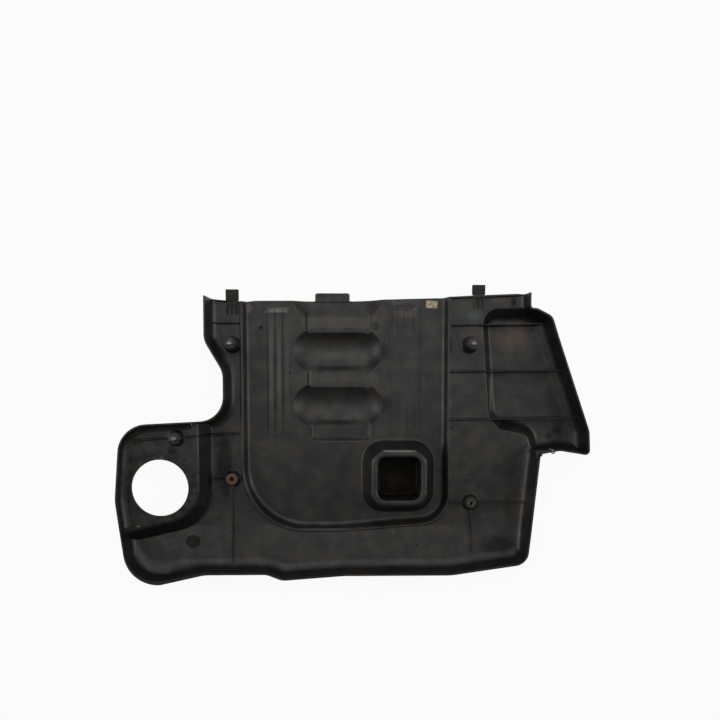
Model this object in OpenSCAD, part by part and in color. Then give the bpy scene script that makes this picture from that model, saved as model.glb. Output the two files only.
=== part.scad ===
// Engine cover, inner side up: one thin moulded plastic shell with five
// rubber bushes, steel sleeves, three captive bolts and two felt sleeves.
// Millimetres. +X runs along the long side, +Z out of the open inner side.
// The cover is drawn level and then laid down as it rests on its outer face.

/* [Shell] */
// wall thickness of the moulding
wall_t = 2.5; // [2:0.1:3.5]
// height of the skirt edge over the outer face of the panel
rim_z = 58; // [50:1:66]
// height of the edge round the wing
wing_rim_z = 45; // [40:1:52]
// draft of the skirt in degrees
skirt_draft = 4; // [2:0.5:6]
// inside radius at the foot of the skirt
skirt_foot_r = 11; // [6:1:16]
// angle at which the cover rests, upper edge raised
rest_deg = 3.89; // [3:0.01:5]
// angle at which the cover rests across its length
rest_roll = 0.31; // [-1:0.01:1]

/* [Floors] */
// inside floor of the flanks beside the panel
flank_z = 16.5; // [14:0.5:20]
// inside floor of the central panel
panel_z = 2.5; // [2:0.5:5]
// inside floor of the block that carries the humps
block_z = -1; // [-1.5:0.5:0]
// inside floor of the raised pan
pan_z = 40; // [34:1:44]
// inside floor of the wing
wing_z = 2.5; // [2:0.5:6]
// line where the lower band starts to rise
crease_y = -138; // [-145:1:-132]
// rise of the lower band per millimetre
band_rise = 0.13; // [0.08:0.01:0.18]

/* [Panel] */
// left side of the panel
panel_left = 167; // [160:1:172]
// right side of the panel
panel_right = 142.5; // [136:0.5:148]
// slope of the panel walls from upright in degrees
panel_slope = 28; // [20:1:35]
// width of the bead round the panel
bead_w = 2.4; // [1.6:0.2:3]
// height of the bead round the panel
bead_h = 1.6; // [1:0.2:2.4]

/* [Humps] */
// distance between two humps
hump_pitch = 83; // [78:1:88]
// height along the cover of the lowest hump
hump_y = 47.5; // [42:0.5:52]
// radius across a hump
hump_r = 50.4; // [46:0.2:56]
// depth of a hump under the block floor
hump_depth = 8.5; // [7:0.5:10]
// half length of the straight part of a hump
hump_half = 35.5; // [30:0.5:40]
// middle of the humps along the cover
hump_x = -24.3; // [-30:0.1:-18]

/* [Collar] */
// middle of the square collar along X
collar_x = 68; // [64:1:72]
// middle of the square collar along Y
collar_y = -61; // [-66:1:-56]
// top of the square collar
collar_z = 45; // [38:1:48]
// half width of the collar over its top
collar_half = 45; // [42:0.5:48]
// half width of the well inside the collar
well_half = 32.3; // [30:0.1:34]
// slope of the collar outside in degrees
collar_slope = 12; // [8:1:15]

/* [Pan] */
// middle of the round hole along X
hole_x = -288; // [-292:1:-284]
// middle of the round hole along Y
hole_y = -75; // [-79:1:-71]
// radius of the round hole
hole_r = 43.5; // [40:0.5:45]

/* [Bosses] */
// radius of a boss at its foot
boss_foot_r = 11.5; // [10:0.5:13]
// radius of a boss at its top
boss_top_r = 9; // [8.6:0.1:10]
// bore through a boss
boss_bore_r = 6.6; // [6.2:0.1:7]
// height of the two tall bosses
tall_boss_h = 30; // [24:1:34]
// height of the boss on the pan
pan_boss_h = 13; // [12:1:18]
// height of the two low bosses
low_boss_h = 11; // [10:1:14]

/* [Bushes, sleeves and bolts] */
// clearance of a bush in its boss
bush_gap = 0.1; // [0.05:0.05:0.2]
// length of a bush inside its boss
bush_len = 9; // [7:0.5:10]
// radius of the bush flange
bush_flange_r = 8.2; // [7.6:0.1:8.6]
// thickness of the bush flange
bush_flange_t = 2; // [1.5:0.1:3]
// outside radius of a steel sleeve
sleeve_r = 4.6; // [4.2:0.1:5]
// bore radius of a steel sleeve
sleeve_bore_r = 3.2; // [3:0.1:3.5]
// length of a steel sleeve over its bush
sleeve_over = 0.6; // [0.3:0.1:1]
// radius of a retaining disc on a tall boss
disc_r = 6.4; // [5.5:0.1:7]
// radius of the wide retaining disc on the low boss
wide_disc_r = 8.8; // [8:0.1:9.5]
// thickness of a retaining disc
disc_t = 1.2; // [0.8:0.1:2]
// clearance of a retaining disc round a bolt
disc_gap = 0.4; // [0.2:0.1:0.6]
// radius of a bolt's threaded end
bolt_r = 3; // [2.5:0.1:3]
// radius of a bolt's waist inside its sleeve, which keeps it captive
bolt_waist_r = 2.6; // [2.2:0.1:2.8]
// bare waist between the retaining disc and the threaded end
bolt_waist_over = 0.4; // [0.2:0.1:0.8]
// radius of a bolt head
bolt_head_r = 5; // [4.5:0.1:5.5]
// height of a bolt head
bolt_head_h = 4; // [3:0.5:6]
// length of the bolt over its sleeve
bolt_over = 6.5; // [4:0.5:9]

/* [Tongues] */
// width of a tongue
tongue_w = 16; // [13:1:18]
// length of a tongue past the edge
tongue_len = 16; // [12:1:18]
// thickness of a tongue
tongue_t = 4; // [3:0.5:5]
// thickness of the felt on a tongue
felt_t = 1.6; // [1.2:0.1:2]

/* [Upper edge] */
// height along the cover of the straight upper edge
upper_y = 203.5; // [198:0.5:210]
// rise of the upper edge at the right tongue
upper_rise = 7; // [4:0.5:10]
// left side of the centre tab
tab_left = -57.5; // [-62:0.5:-54]
// right side of the centre tab
tab_right = -6; // [-10:0.5:-2]
// length of the centre tab
tab_len = 13; // [10:0.5:15]

/* [Label] */
// width of the paper label
label_w = 18; // [14:1:24]
// height of the paper label
label_h = 12; // [8:1:16]
// thickness of the paper label
label_t = 0.3; // [0.2:0.1:0.4]

/* [Hidden] */
eps = 0.05;
step_in = 0.3;
fine = 40;
arc_step = 24;
over = 1;
hump_wc = block_z - hump_depth + hump_r;
hump_edge = sqrt(pow(hump_r, 2) - pow(hump_wc - panel_z, 2));
bush_r = boss_bore_r - bush_gap;
rib_t = 2;
rib_top = 23;
web_foot = -20;
lip_h = 4;
tongue_z = flank_z - wall_t + 0.3;
slab = 3 * panel_left;
// Tongue places [x, edge y], and lines past the upper edge where the skirt
// and the cut that makes the edge end.
tongue_left = [-182, upper_y];
tongue_right = [187.5, upper_y + upper_rise];
past_y = tongue_right.y + 29.5;
far_y = past_y + 50;

// Outlines, each corner [x, y, corner radius, width factor of the edge after it].
// The first corner and the one of crease_corner lie on straight sides, where
// the lower band starts to rise.
contour = [
  [-345, crease_y, 1, 1], [-335, -215, 36, 2.2], [-285, -216.5, 40, 1.8],
  [-226, -203, 60, 1.2], [-129, -202.5, 24, 1.2], [-106, -211.5, 24, 1.2],
  [-15, -204.3, 90, 1.2], [145, -203.5, 90, 1.2], [258, -186.5, 22, 1],
  [262.8, crease_y, 1, 1], [274, -26, 3, 1], [306, -20, 20, 1],
  [352.3, -27.5, 8, 1], [350.5, 10, 40, 1], [303.5, 146, 30, 1],
  [292.5, 180, 18, 1], [259.8, 195.5, 3, 1], [262, past_y, 1, 1],
  [-226, past_y, 1, 1], [-219.5, 143, 34, 1], [-190.5, 97, 34, 1],
  [-190.5, 27, 36, 1], [-342.5, 19, 44, 1], [-351, -92, 60, 1]];
crease_corner = 9;
edge_left = -260;
edge_right = 300;
top_edge = [[edge_left, upper_y + 8.5], [-226, upper_y + 4.5], [-192, upper_y + 1],
  [-154, upper_y], [tab_left, upper_y], [tab_left, upper_y + tab_len],
  [tab_right, upper_y + tab_len], [tab_right, upper_y], [17, upper_y + 0.5],
  [92, tongue_right.y - 4.5], [139, tongue_right.y - 2.5], [178, tongue_right.y],
  [264, tongue_right.y + 2.5], [edge_right, tongue_right.y + 2.5]];
panel_line = [[-panel_left, past_y + 5, 1, 1], [-panel_left, -142, 95, 1],
  [-20, -142, 90, 1], [143, -129, 42, 1], [panel_right, past_y + 5, 1, 1]];
block_line = [[-73, past_y + 5, 1, 1], [-65.5, -8, 10, 1], [26, -8, 10, 1],
  [26, past_y + 5, 1, 1]];
pan_line = [[-232.5, -124, 35, 1], [-232.5, 60, 1, 1], [-420, 60, 1, 1],
  [-420, -124, 1, 1.35]];
wing_line = [[205, 29, 10, 1], [221, 11.5, 12, 1], [263, 3, 12, 1],
  [283, -60, 4, 1], [420, -60, 2, 1], [420, 193, 2, 1],
  [192.5, 193, 18, 0.7]];
// Boss places [x, y, floor, boss height].
upper_left = [-181.5, 139, flank_z, tall_boss_h];
upper_right = [175.4, 139, flank_z, tall_boss_h];
pan_boss = [-263, 0, pan_z, pan_boss_h];
lower_left = [-183.6, -63.2, flank_z, low_boss_h];
lower_right = [178, -99.8, flank_z, low_boss_h];
bosses = [upper_left, upper_right, pan_boss, lower_left, lower_right];
// middle of the paper label
label_x = 119;
label_y = 198;
// Ribs, each over its points [x, y, top z].
ribs = [
  [[147, 168, rib_top], [285, 170.5, rib_top]],
  [[147, 98.6, rib_top], [316, 100.5, rib_top]],
  [[147, 26.3, rib_top], [341, 29, rib_top]],
  [[-221, 171.4, rib_top], [-172, 171.4, rib_top - 3]],
  [[-343, -4.5, pan_z + 4], [-251, 1, pan_z + 4], [-173, 5.7, flank_z + 3]],
  [[-219, lower_left.y, rib_top], [-188, lower_left.y, rib_top]],
  [[-180, lower_left.y, rib_top], [-171, lower_left.y, rib_top - 2]],
  [[lower_left.x, -60, rib_top], [lower_left.x, -30, flank_z + 3]],
  [[-184, -67, rib_top], [-184.5, -202, rib_top + 6]],
  [[146, -100.5, rib_top], [173, -100, rib_top]],
  [[182, lower_right.y, rib_top], [272, -98, rib_top + 4]],
  [[178.5, -104, rib_top], [180, -175, rib_top + 2]]];
// Low lips along the upper edge.
lips = [
  [[-223, upper_y + 2.5, flank_z + lip_h], [-172, upper_y - 0.5, flank_z + lip_h]],
  [[147, tongue_right.y - 3.7, flank_z + lip_h], [262, tongue_right.y + 0.9, flank_z + lip_h]]];
// Gussets of a tongue: spacing, length and thickness.
gusset_pitch = 6.5;
gusset_len = 18;
gusset_t = 1.6;
// Stripes beside the humps and sides of the stripe frame on the right.
stripes = [-131.5, -120.3, -107];
frame_x = [55, 103];
frame_y = 1;
stripe_w = 1.2;
stripe_h = 0.7;
stripe_len = upper_y - 3.5;
stripe_foot = 4.5;
// Ribs of the centre tab.
tab_ribs = [-49.5, -33, -14.5];
tab_rib_w = 1.6;
tab_rib_z = -9;
// Block beside the wing [x, y] and its size.
hook = [270, -40];
hook_size = [13.4, 21, wing_rim_z + 6];
// Cuts that lower the edge: left and lower end of the one round the wing,
// left and lower end of the one at the upper right corner, and its width.
wing_cut = [276.5, -60];
corner_cut = [246, 190];
corner_cut_w = 17;
cut_h = 60;

// Outline offset by d0 all round and by dp times the factor of each edge,
// corners turned into arcs with the same count of points at every offset.
function unit(p, q) = let(v = [q.x - p.x, q.y - p.y]) v / norm(v);
function out(v) = [v.y, -v.x];
function turn(a, b) = atan2(a.x * b.y - a.y * b.x, a.x * b.x + a.y * b.y);
function spin(v, t) = [v.x * cos(t) - v.y * sin(t), v.x * sin(t) + v.y * cos(t)];
function corner(p0, p1, p2, d0, dp) =
  let(a = unit(p0, p1), b = unit(p1, p2), na = out(a), nb = out(b),
    da = d0 + dp * p0[3], db = d0 + dp * p1[3], t = turn(a, b),
    det = na.x * nb.y - na.y * nb.x,
    ca = p1.x * na.x + p1.y * na.y + da, cb = p1.x * nb.x + p1.y * nb.y + db,
    m = abs(det) < 0.03 ? [p1.x, p1.y] + na * (da + db) / 2
      : [(ca * nb.y - cb * na.y) / det, (cb * na.x - ca * nb.x) / det],
    s = t > 0 ? 1 : -1, r = max(0.4, p1[2] + s * (da + db) / 2),
    n = (p1[2] < 2 || abs(t) < 7) ? 0 : max(1, ceil(abs(t) / arc_step)),
    start = m - a * r * tan(abs(t) / 2), c = start - na * r * s)
  n == 0 ? [m] : [for (j = [0 : n]) c + spin(start - c, t * j / n)];
function stretch(line, from, to, d0, dp, z) = let(n = len(line))
  [for (i = [from : to]) for (p = corner(line[(i + n - 1) % n], line[i],
    line[(i + 1) % n], d0, dp)) [p.x, p.y, z]];
function ring(line, d0, dp, z) = stretch(line, 0, len(line) - 1, d0, dp, z);

// Body through rings with equal counts of points, lowest first. The lowest
// face is folded between point 0 and point fold where fold is given.
module loft(rings, fold = 0) {
  n = len(rings[0]);
  m = len(rings);
  polyhedron(
    points = [for (r = rings) for (p = r) p],
    faces = concat(fold == 0 ? [[for (i = [0 : n - 1]) i]]
      : [[for (i = [0 : fold]) i], concat([for (i = [fold : n - 1]) i], [0])],
      [[for (i = [0 : n - 1]) m * n - 1 - i]],
      [for (k = [0 : m - 2]) for (i = [0 : n - 1])
        [k * n + i, (k + 1) * n + i, (k + 1) * n + (i + 1) % n, k * n + (i + 1) % n]]));
}

// Section of a wall between a floor and the level h over it: foot radius
// r1, top radius r2, slope a. grow moves the section out by its normal.
function foot_d(h, a, r1) = -(h - r1 + r1 * sin(a)) * tan(a) - r1 * cos(a);
function foot(h, a, r1, grow, n) = [for (i = [0 : n])
  let(f = -90 + (90 - a) * i / n)
  [foot_d(h, a, r1) + (r1 + grow) * cos(f), r1 + (r1 + grow) * sin(f)]];
function head(h, a, r2, grow, n) = let(d = r2 * cos(a) - r2 * (1 - sin(a)) * tan(a))
  [for (i = [0 : n]) let(f = 180 - a - (90 - a) * i / n)
  [d + (r2 - grow) * cos(f), h - r2 + (r2 - grow) * sin(f)]];
function section(h, a, r1, r2, grow, n1 = 3, n2 = 3) =
  concat(foot(h, a, r1, grow, n1), head(h, a, r2, grow, n2));

// The ring with its points below the line from a to b raised by the band.
function banded(r, a, b) = let(n = out(unit(a, b)))
  [for (p = r) let(d = (p.x - a.x) * n.x + (p.y - a.y) * n.y)
    [p.x, p.y, p.z + band_rise * max(0, d)]];

module tray(floor_z, grow, push = 0) {
  h = rim_z - floor_z;
  d = push - wall_t;
  s = foot(h, skirt_draft, skirt_foot_r, grow, 3);
  fold = len(stretch(contour, 0, crease_corner - 1, d, s[0][0], 0));
  lowest = ring(contour, d, s[0][0], floor_z + s[0][1]);
  a = lowest[0];
  b = lowest[fold];
  loft(concat([for (p = s) banded(ring(contour, d, p[0], floor_z + p[1]), a, b)],
    [banded(ring(contour, d, grow / cos(skirt_draft) + over * tan(skirt_draft),
      rim_z + over), a, b)]), fold);
}

module pocket(line, floor_z, top_z, a, r1, r2, grow, n1 = 3, n2 = 3, up = over / 2) {
  s = section(top_z - floor_z, a, r1, r2, grow, n1, n2);
  loft(concat([for (p = s) ring(line, 0, p[0], floor_z + p[1])],
    [ring(line, 0, s[len(s) - 1][0], top_z - grow + up)]));
}

module island(line, floor_z, top_z, a, r1, r2, grow, n1 = 3, n2 = 3) {
  s = section(top_z - floor_z, a, r1, r2, grow, n1, n2);
  loft(concat([ring(line, 0, -s[0][0], floor_z - grow - over)],
    [for (p = s) ring(line, 0, -p[0], floor_z + p[1])]));
}

module hump(y, grow) {
  r = hump_r + grow;
  line = [[hump_x - hump_half - hump_edge, y - hump_edge, hump_edge, 1],
    [hump_x + hump_half + hump_edge, y - hump_edge, hump_edge, 1],
    [hump_x + hump_half + hump_edge, y + hump_edge, hump_edge, 1],
    [hump_x - hump_half - hump_edge, y + hump_edge, hump_edge, 1]];
  loft([for (f = [1, 9, 17, 25, 33, 41.5])
    ring(line, 0, r * sin(f) - hump_edge, hump_wc - r * cos(f))]);
}

// Space inside the cover for grow 0, its outer form for grow wall_t.
module space(grow) {
  difference() {
    union() {
      tray(flank_z, grow);
      intersection() {
        tray(wing_z, grow, -step_in);
        pocket(wing_line, wing_z, flank_z, 48, 6, 4, grow, up = skirt_foot_r + over);
      }
      pocket(panel_line, panel_z, flank_z, panel_slope, 4, 3, grow);
      pocket(block_line, block_z, panel_z, 45, 2, 3, grow, 1, 1);
      for (i = [0 : 2]) hump(hump_y + i * hump_pitch, grow);
    }
    island(pan_line, flank_z, pan_z, 32, 5, 6, grow);
    pan_fillet(grow);
    island(square_line(collar_half, 16), panel_z, collar_z, collar_slope, 4, 5, grow);
  }
  pocket(square_line(well_half, 12), panel_z, collar_z, 2, 3, 3, grow, 2, 2);
}

function square_line(half, r) = [
  [collar_x - half, collar_y - half, r, 1], [collar_x + half, collar_y - half, r, 1],
  [collar_x + half, collar_y + half, r, 1], [collar_x - half, collar_y + half, r, 1]];

// Rounding between the pan and the skirt.
module pan_fillet(grow) {
  difference() {
    intersection() {
      loft([ring(pan_line, -8, 0, pan_z - grow - over), ring(pan_line, -8, 0, rim_z - over)]);
      translate([-slab, -slab, pan_z - grow - over / 2]) cube(2 * slab);
    }
    tray(pan_z, grow, step_in);
  }
}

// Thin web over points [x, y, top z]; what lies in the wall is absorbed.
module web(points, t = rib_t) {
  hull() for (p = points)
    translate([p.x, p.y, web_foot]) cylinder(d = t, h = p.z - web_foot, $fn = 8);
}

module boss(place) {
  translate([place.x, place.y, place.z - 1])
    cylinder(r1 = boss_foot_r, r2 = boss_top_r, h = place[3] + 1, $fn = 28);
}

module bead(line) {
  difference() {
    loft([ring(line, bead_w + 1.2, 0, flank_z - 1),
      ring(line, bead_w + 0.8, 0, flank_z + bead_h)]);
    loft([ring(line, 1.2, 0, flank_z - 2), ring(line, 1.6, 0, flank_z + bead_h + 1)]);
  }
}

module tongue(place) {
  translate([place.x - tongue_w / 2, place.y - 4, tongue_z])
    cube([tongue_w, tongue_len + 4, tongue_t]);
}

module webs() {
  for (points = concat(ribs, lips)) web(points);
  for (p = [tongue_left, tongue_right]) for (i = [-1 : 1])
    web([[p.x + i * gusset_pitch, p.y - over, flank_z + lip_h + 0.6],
      [p.x + i * gusset_pitch, p.y - over - gusset_len, flank_z + 0.6]], gusset_t);
}

module inner_details() {
  webs();
  for (b = bosses) boss(b);
  tongue(tongue_left);
  tongue(tongue_right);
  bead(panel_line);
  for (x = concat(stripes, frame_x)) translate([x, 0, panel_z - stripe_foot])
    cube([stripe_w, stripe_len, stripe_foot + stripe_h]);
  translate([frame_x[0] - over, frame_y, panel_z - stripe_foot])
    cube([frame_x[1] - frame_x[0] + stripe_w + 2 * over, stripe_w, stripe_foot + stripe_h]);
  for (x = tab_ribs) translate([x, upper_y - 9.5, tab_rib_z])
    cube([tab_rib_w, tab_len + 11, 2.6]);
  translate([tab_left - 2.5, upper_y - 1.1, tab_rib_z])
    cube([tab_right - tab_left + 6.5, stripe_w, 2.2]);
  translate([hook.x, hook.y, 0]) cube(hook_size);
}

// Bores of the bosses, open to the outer face.
module bores() {
  for (b = bosses) translate([b.x, b.y, b.z - 8])
    cylinder(r = boss_bore_r, h = b[3] + 16, $fn = 32);
}

module trims() {
  translate([hole_x, hole_y, pan_z - 12]) cylinder(r = hole_r, h = 24, $fn = 56);
  // edge round the wing and past the upper edge
  translate([wing_cut.x, wing_cut.y, wing_rim_z]) cube([120, far_y - wing_cut.y, cut_h]);
  translate([corner_cut.x, corner_cut.y, flank_z + lip_h])
    cube([corner_cut_w, far_y - corner_cut.y, cut_h]);
  translate([0, 0, -cut_h]) linear_extrude(3 * cut_h)
    polygon(concat(top_edge, [[edge_right, far_y], [edge_left, far_y]]));
}

// Lays the level cover down on its outer face.
module rest_pose() {
  translate([rest_x, rest_y, rest_z]) rotate([rest_deg, rest_roll, 0]) children();
}
rest_x = -0.455;
rest_y = -2.818;
rest_z = 8.865;

module cover_shell() {
  color([0.09, 0.09, 0.095]) rest_pose() render() difference() {
    union() {
      difference() {
        intersection() {
          space(wall_t);
          translate([-slab, -slab, -slab]) cube([2 * slab, 2 * slab, slab + rim_z]);
        }
        difference() {
          space(0);
          inner_details();
        }
        trims();
      }
      tongue(tongue_left);
      tongue(tongue_right);
    }
    bores();
  }
}

module bush(place) {
  color([0.05, 0.05, 0.05]) rest_pose() translate([place.x, place.y, place.z + place[3]])
    difference() {
      union() {
        cylinder(r = bush_flange_r, h = bush_flange_t, $fn = fine);
        translate([0, 0, -bush_len]) cylinder(r = bush_r, h = bush_len + eps, $fn = fine);
      }
      translate([0, 0, -bush_len - over])
        cylinder(r = sleeve_r, h = bush_len + bush_flange_t + 2 * over, $fn = fine);
    }
}

module sleeve(place) {
  color([0.6, 0.58, 0.55]) rest_pose()
    translate([place.x, place.y, place.z + place[3] - bush_len]) difference() {
      cylinder(r = sleeve_r, h = bush_len + bush_flange_t + sleeve_over, $fn = fine);
      translate([0, 0, -over]) cylinder(r = sleeve_bore_r,
        h = bush_len + bush_flange_t + sleeve_over + 2 * over, $fn = fine);
    }
}

module bolt(place) {
  sleeve_len = bush_len + bush_flange_t + sleeve_over;
  waist_len = sleeve_len + disc_t + bolt_waist_over;
  color([0.75, 0.73, 0.68]) rest_pose()
    translate([place.x, place.y, place.z + place[3] - bush_len]) union() {
      translate([0, 0, -bolt_head_h]) cylinder(r = bolt_head_r, h = bolt_head_h, $fn = fine);
      translate([0, 0, -eps]) cylinder(r = bolt_waist_r, h = waist_len + 2 * eps, $fn = fine);
      translate([0, 0, waist_len])
        cylinder(r = bolt_r, h = sleeve_len + bolt_over - waist_len, $fn = fine);
    }
}

module disc(place, r) {
  color([0.45, 0.4, 0.36]) rest_pose()
    translate([place.x, place.y, place.z + place[3] + bush_flange_t + sleeve_over])
    difference() {
      cylinder(r = r, h = disc_t, $fn = fine);
      translate([0, 0, -over]) cylinder(r = bolt_r + disc_gap, h = disc_t + 2 * over, $fn = fine);
    }
}

module paper_label() {
  color([0.72, 0.66, 0.52]) rest_pose()
    translate([label_x - label_w / 2, label_y - label_h / 2, panel_z])
    cube([label_w, label_h, label_t]);
}

module felt(place) {
  color([0.13, 0.125, 0.12]) rest_pose()
    translate([place.x, place.y, tongue_z]) difference() {
      translate([-tongue_w / 2 - felt_t, over, -felt_t])
        cube([tongue_w + 2 * felt_t, tongue_len - over + felt_t, tongue_t + 2 * felt_t]);
      translate([-tongue_w / 2, 0, 0]) cube([tongue_w, tongue_len, tongue_t]);
    }
}

cover_shell();
bush(upper_left);  // bush_upper_left
bush(upper_right);  // bush_upper_right
bush(pan_boss);  // bush_pan
bush(lower_left);  // bush_lower_left
bush(lower_right);  // bush_lower_right
sleeve(upper_left);  // sleeve_upper_left
sleeve(upper_right);  // sleeve_upper_right
sleeve(pan_boss);  // sleeve_pan
sleeve(lower_left);  // sleeve_lower_left
sleeve(lower_right);  // sleeve_lower_right
bolt(upper_left);  // bolt_upper_left
bolt(upper_right);  // bolt_upper_right
bolt(pan_boss);  // bolt_pan
disc(upper_left, disc_r);  // disc_upper_left
disc(upper_right, disc_r);  // disc_upper_right
disc(pan_boss, disc_r);  // disc_pan
disc(lower_left, wide_disc_r);  // disc_lower_left
felt(tongue_left);  // tongue_felt_left
felt(tongue_right);  // tongue_felt_right
paper_label();
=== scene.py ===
"""Engine cover lying on its outer face: a black moulded shell with its mounting fittings, seen from above."""

import logging
import math
from dataclasses import dataclass
from enum import Enum
from typing import Iterable, Sequence

import bpy
from mathutils import Euler, Matrix, Vector


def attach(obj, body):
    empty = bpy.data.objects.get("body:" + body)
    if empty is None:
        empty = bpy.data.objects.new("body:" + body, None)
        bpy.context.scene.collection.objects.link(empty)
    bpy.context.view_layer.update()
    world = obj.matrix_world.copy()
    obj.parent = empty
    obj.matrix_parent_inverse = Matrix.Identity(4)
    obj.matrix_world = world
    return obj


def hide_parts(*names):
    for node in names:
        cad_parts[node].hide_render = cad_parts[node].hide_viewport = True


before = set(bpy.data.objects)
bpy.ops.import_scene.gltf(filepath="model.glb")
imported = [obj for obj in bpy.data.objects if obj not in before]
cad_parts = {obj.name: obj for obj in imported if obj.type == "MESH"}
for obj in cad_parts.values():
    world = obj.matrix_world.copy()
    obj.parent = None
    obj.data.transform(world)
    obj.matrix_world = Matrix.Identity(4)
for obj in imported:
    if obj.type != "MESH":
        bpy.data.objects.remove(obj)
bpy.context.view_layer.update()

LOG = logging.getLogger("engine_cover")
MM = 0.001
ROOT = "root"

Point = tuple[float, float]
Place = tuple[float, float, float]
Ring = list[Place]
Section = tuple[float, float, float]


class Slot(Enum):
    """Material slots of the record."""

    PLASTIC = "black_plastic"
    RUBBER = "rubber"
    STEEL = "steel"
    RUST = "rusty_steel"
    FELT = "felt"
    PAPER = "paper"


class Combine(Enum):
    """Ways to combine two closed bodies."""

    JOIN = "UNION"
    CUT = "DIFFERENCE"
    COMMON = "INTERSECT"


@dataclass(frozen=True)
class Rest:
    """How the cover lies: it is drawn level, in millimetres, and then laid down on its outer face."""

    tilt: float = 3.89
    roll: float = 0.31
    shift: tuple[float, float, float] = (-0.455, -2.818, 8.865)

    def matrix(self) -> Matrix:
        """Matrix from level millimetres to the frame's metres.

        Returns:
            The 4 by 4 matrix.
        """
        turn = Euler((math.radians(self.tilt), math.radians(self.roll), 0.0)).to_matrix().to_4x4()
        return Matrix.Scale(MM, 4) @ Matrix.Translation(self.shift) @ turn


REST = Rest()


def deselect() -> None:
    """Leaves edit mode and deselects every object."""
    if bpy.context.object is not None and bpy.context.object.mode != "OBJECT":
        bpy.ops.object.mode_set(mode="OBJECT")
    bpy.ops.object.select_all(action="DESELECT")


def activate(piece: bpy.types.Object) -> None:
    """Makes one object the only selected and active one.

    Args:
        piece: The object to work on.
    """
    deselect()
    piece.select_set(True)
    bpy.context.view_layer.objects.active = piece


def apply_place(piece: bpy.types.Object) -> None:
    """Applies the place, turn and scale of an object to its mesh.

    Args:
        piece: The object to settle at the origin.
    """
    activate(piece)
    bpy.ops.object.transform_apply(location=True, rotation=True, scale=True)


def added(name: str) -> bpy.types.Object:
    """Names the object that an operator has just added and settles it at the origin.

    Args:
        name: Name of the new object.

    Returns:
        The object.
    """
    piece = bpy.context.object
    piece.name = piece.data.name = name
    apply_place(piece)
    return piece


def from_points(name: str, points: Sequence[Sequence[float]], edges: Sequence[Sequence[int]],
                faces: Sequence[Sequence[int]]) -> bpy.types.Object:
    """Makes an object from points, edges and faces.

    Args:
        name: Name of the object.
        points: Its vertices.
        edges: Its loose edges.
        faces: Its faces, anticlockwise from outside.

    Returns:
        The object.
    """
    mesh = bpy.data.meshes.new(name)
    mesh.from_pydata([tuple(p) for p in points], edges, faces)
    mesh.update()
    piece = bpy.data.objects.new(name, mesh)
    bpy.context.scene.collection.objects.link(piece)
    return piece


def combine(body: bpy.types.Object, tool: bpy.types.Object, how: Combine) -> bpy.types.Object:
    """Combines a body with a tool, which is used up.

    Args:
        body: The body to change.
        tool: The body that joins or cuts it.
        how: The way they are combined.

    Returns:
        The changed body.
    """
    activate(body)
    step = body.modifiers.new("combine", "BOOLEAN")
    step.operation = how.value
    step.solver = "MANIFOLD"
    step.object = tool
    bpy.ops.object.modifier_apply(modifier=step.name)
    if not body.data.polygons:
        raise ValueError(f"{how.name} of {body.name} with {tool.name} left nothing")
    mesh = tool.data
    bpy.data.objects.remove(tool)
    bpy.data.meshes.remove(mesh)
    return body


def spin_profile(name: str, profile: Sequence[Point], steps: int = 48) -> bpy.types.Object:
    """Turns a profile round the Z axis, as on a lathe.

    Args:
        name: Name of the object.
        profile: Radius and height of each point. It is closed, or it starts and ends on the axis.
        steps: Steps of a whole turn.

    Returns:
        The turned object, faces outwards.
    """
    count = len(profile)
    on_axis = profile[0][0] < 1e-6 and profile[-1][0] < 1e-6
    edges = [(i, i + 1) for i in range(count - 1)] + ([] if on_axis else [(count - 1, 0)])
    piece = from_points(name, [(r, 0.0, z) for r, z in profile], edges, [])
    activate(piece)
    bpy.ops.object.mode_set(mode="EDIT")
    bpy.ops.mesh.select_all(action="SELECT")
    bpy.ops.mesh.spin(steps=steps, angle=math.tau, center=(0, 0, 0), axis=(0, 0, 1))
    bpy.ops.mesh.select_all(action="SELECT")
    bpy.ops.mesh.remove_doubles(threshold=1e-4)
    bpy.ops.mesh.normals_make_consistent(inside=False)
    bpy.ops.object.mode_set(mode="OBJECT")
    return piece


def lay_down(piece: bpy.types.Object, at: Sequence[float] = (0, 0, 0)) -> None:
    """Moves a level piece in millimetres to where it lies in the frame.

    Args:
        piece: The piece, drawn round its own origin.
        at: Place of that origin on the level cover.
    """
    piece.data.transform(REST.matrix() @ Matrix.Translation(at))
    piece.data.update()


def smooth(piece: bpy.types.Object, angle: float = 32.0, weighted: bool = True) -> None:
    """Shades a piece smooth up to an angle, with flat faces kept flat.

    Args:
        piece: The piece to shade.
        angle: Largest angle in degrees that is shaded smooth.
        weighted: Whether large faces pull the normals.
    """
    activate(piece)
    bpy.ops.object.shade_smooth_by_angle(angle=math.radians(angle))
    if weighted:
        even = piece.modifiers.new("even", "WEIGHTED_NORMAL")
        even.mode = "FACE_AREA"
        even.weight = 50
        even.keep_sharp = True
        bpy.ops.object.modifier_apply(modifier=even.name)


def dress(piece: bpy.types.Object, material: bpy.types.Material, nodes: Iterable[str]) -> None:
    """Gives a finished piece its material and ties it to the frame.

    Args:
        piece: The finished piece.
        material: Its material.
        nodes: The CAD nodes that it stands for.
    """
    piece.data.materials.clear()
    piece.data.materials.append(material)
    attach(piece, ROOT)
    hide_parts(*nodes)
    LOG.info("%s: %d faces", piece.name, len(piece.data.polygons))


@dataclass(frozen=True)
class Corner:
    """Corner of an outline. The edge after it takes an offset times its flare."""

    x: float
    y: float
    radius: float = 1.0
    flare: float = 1.0


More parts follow.
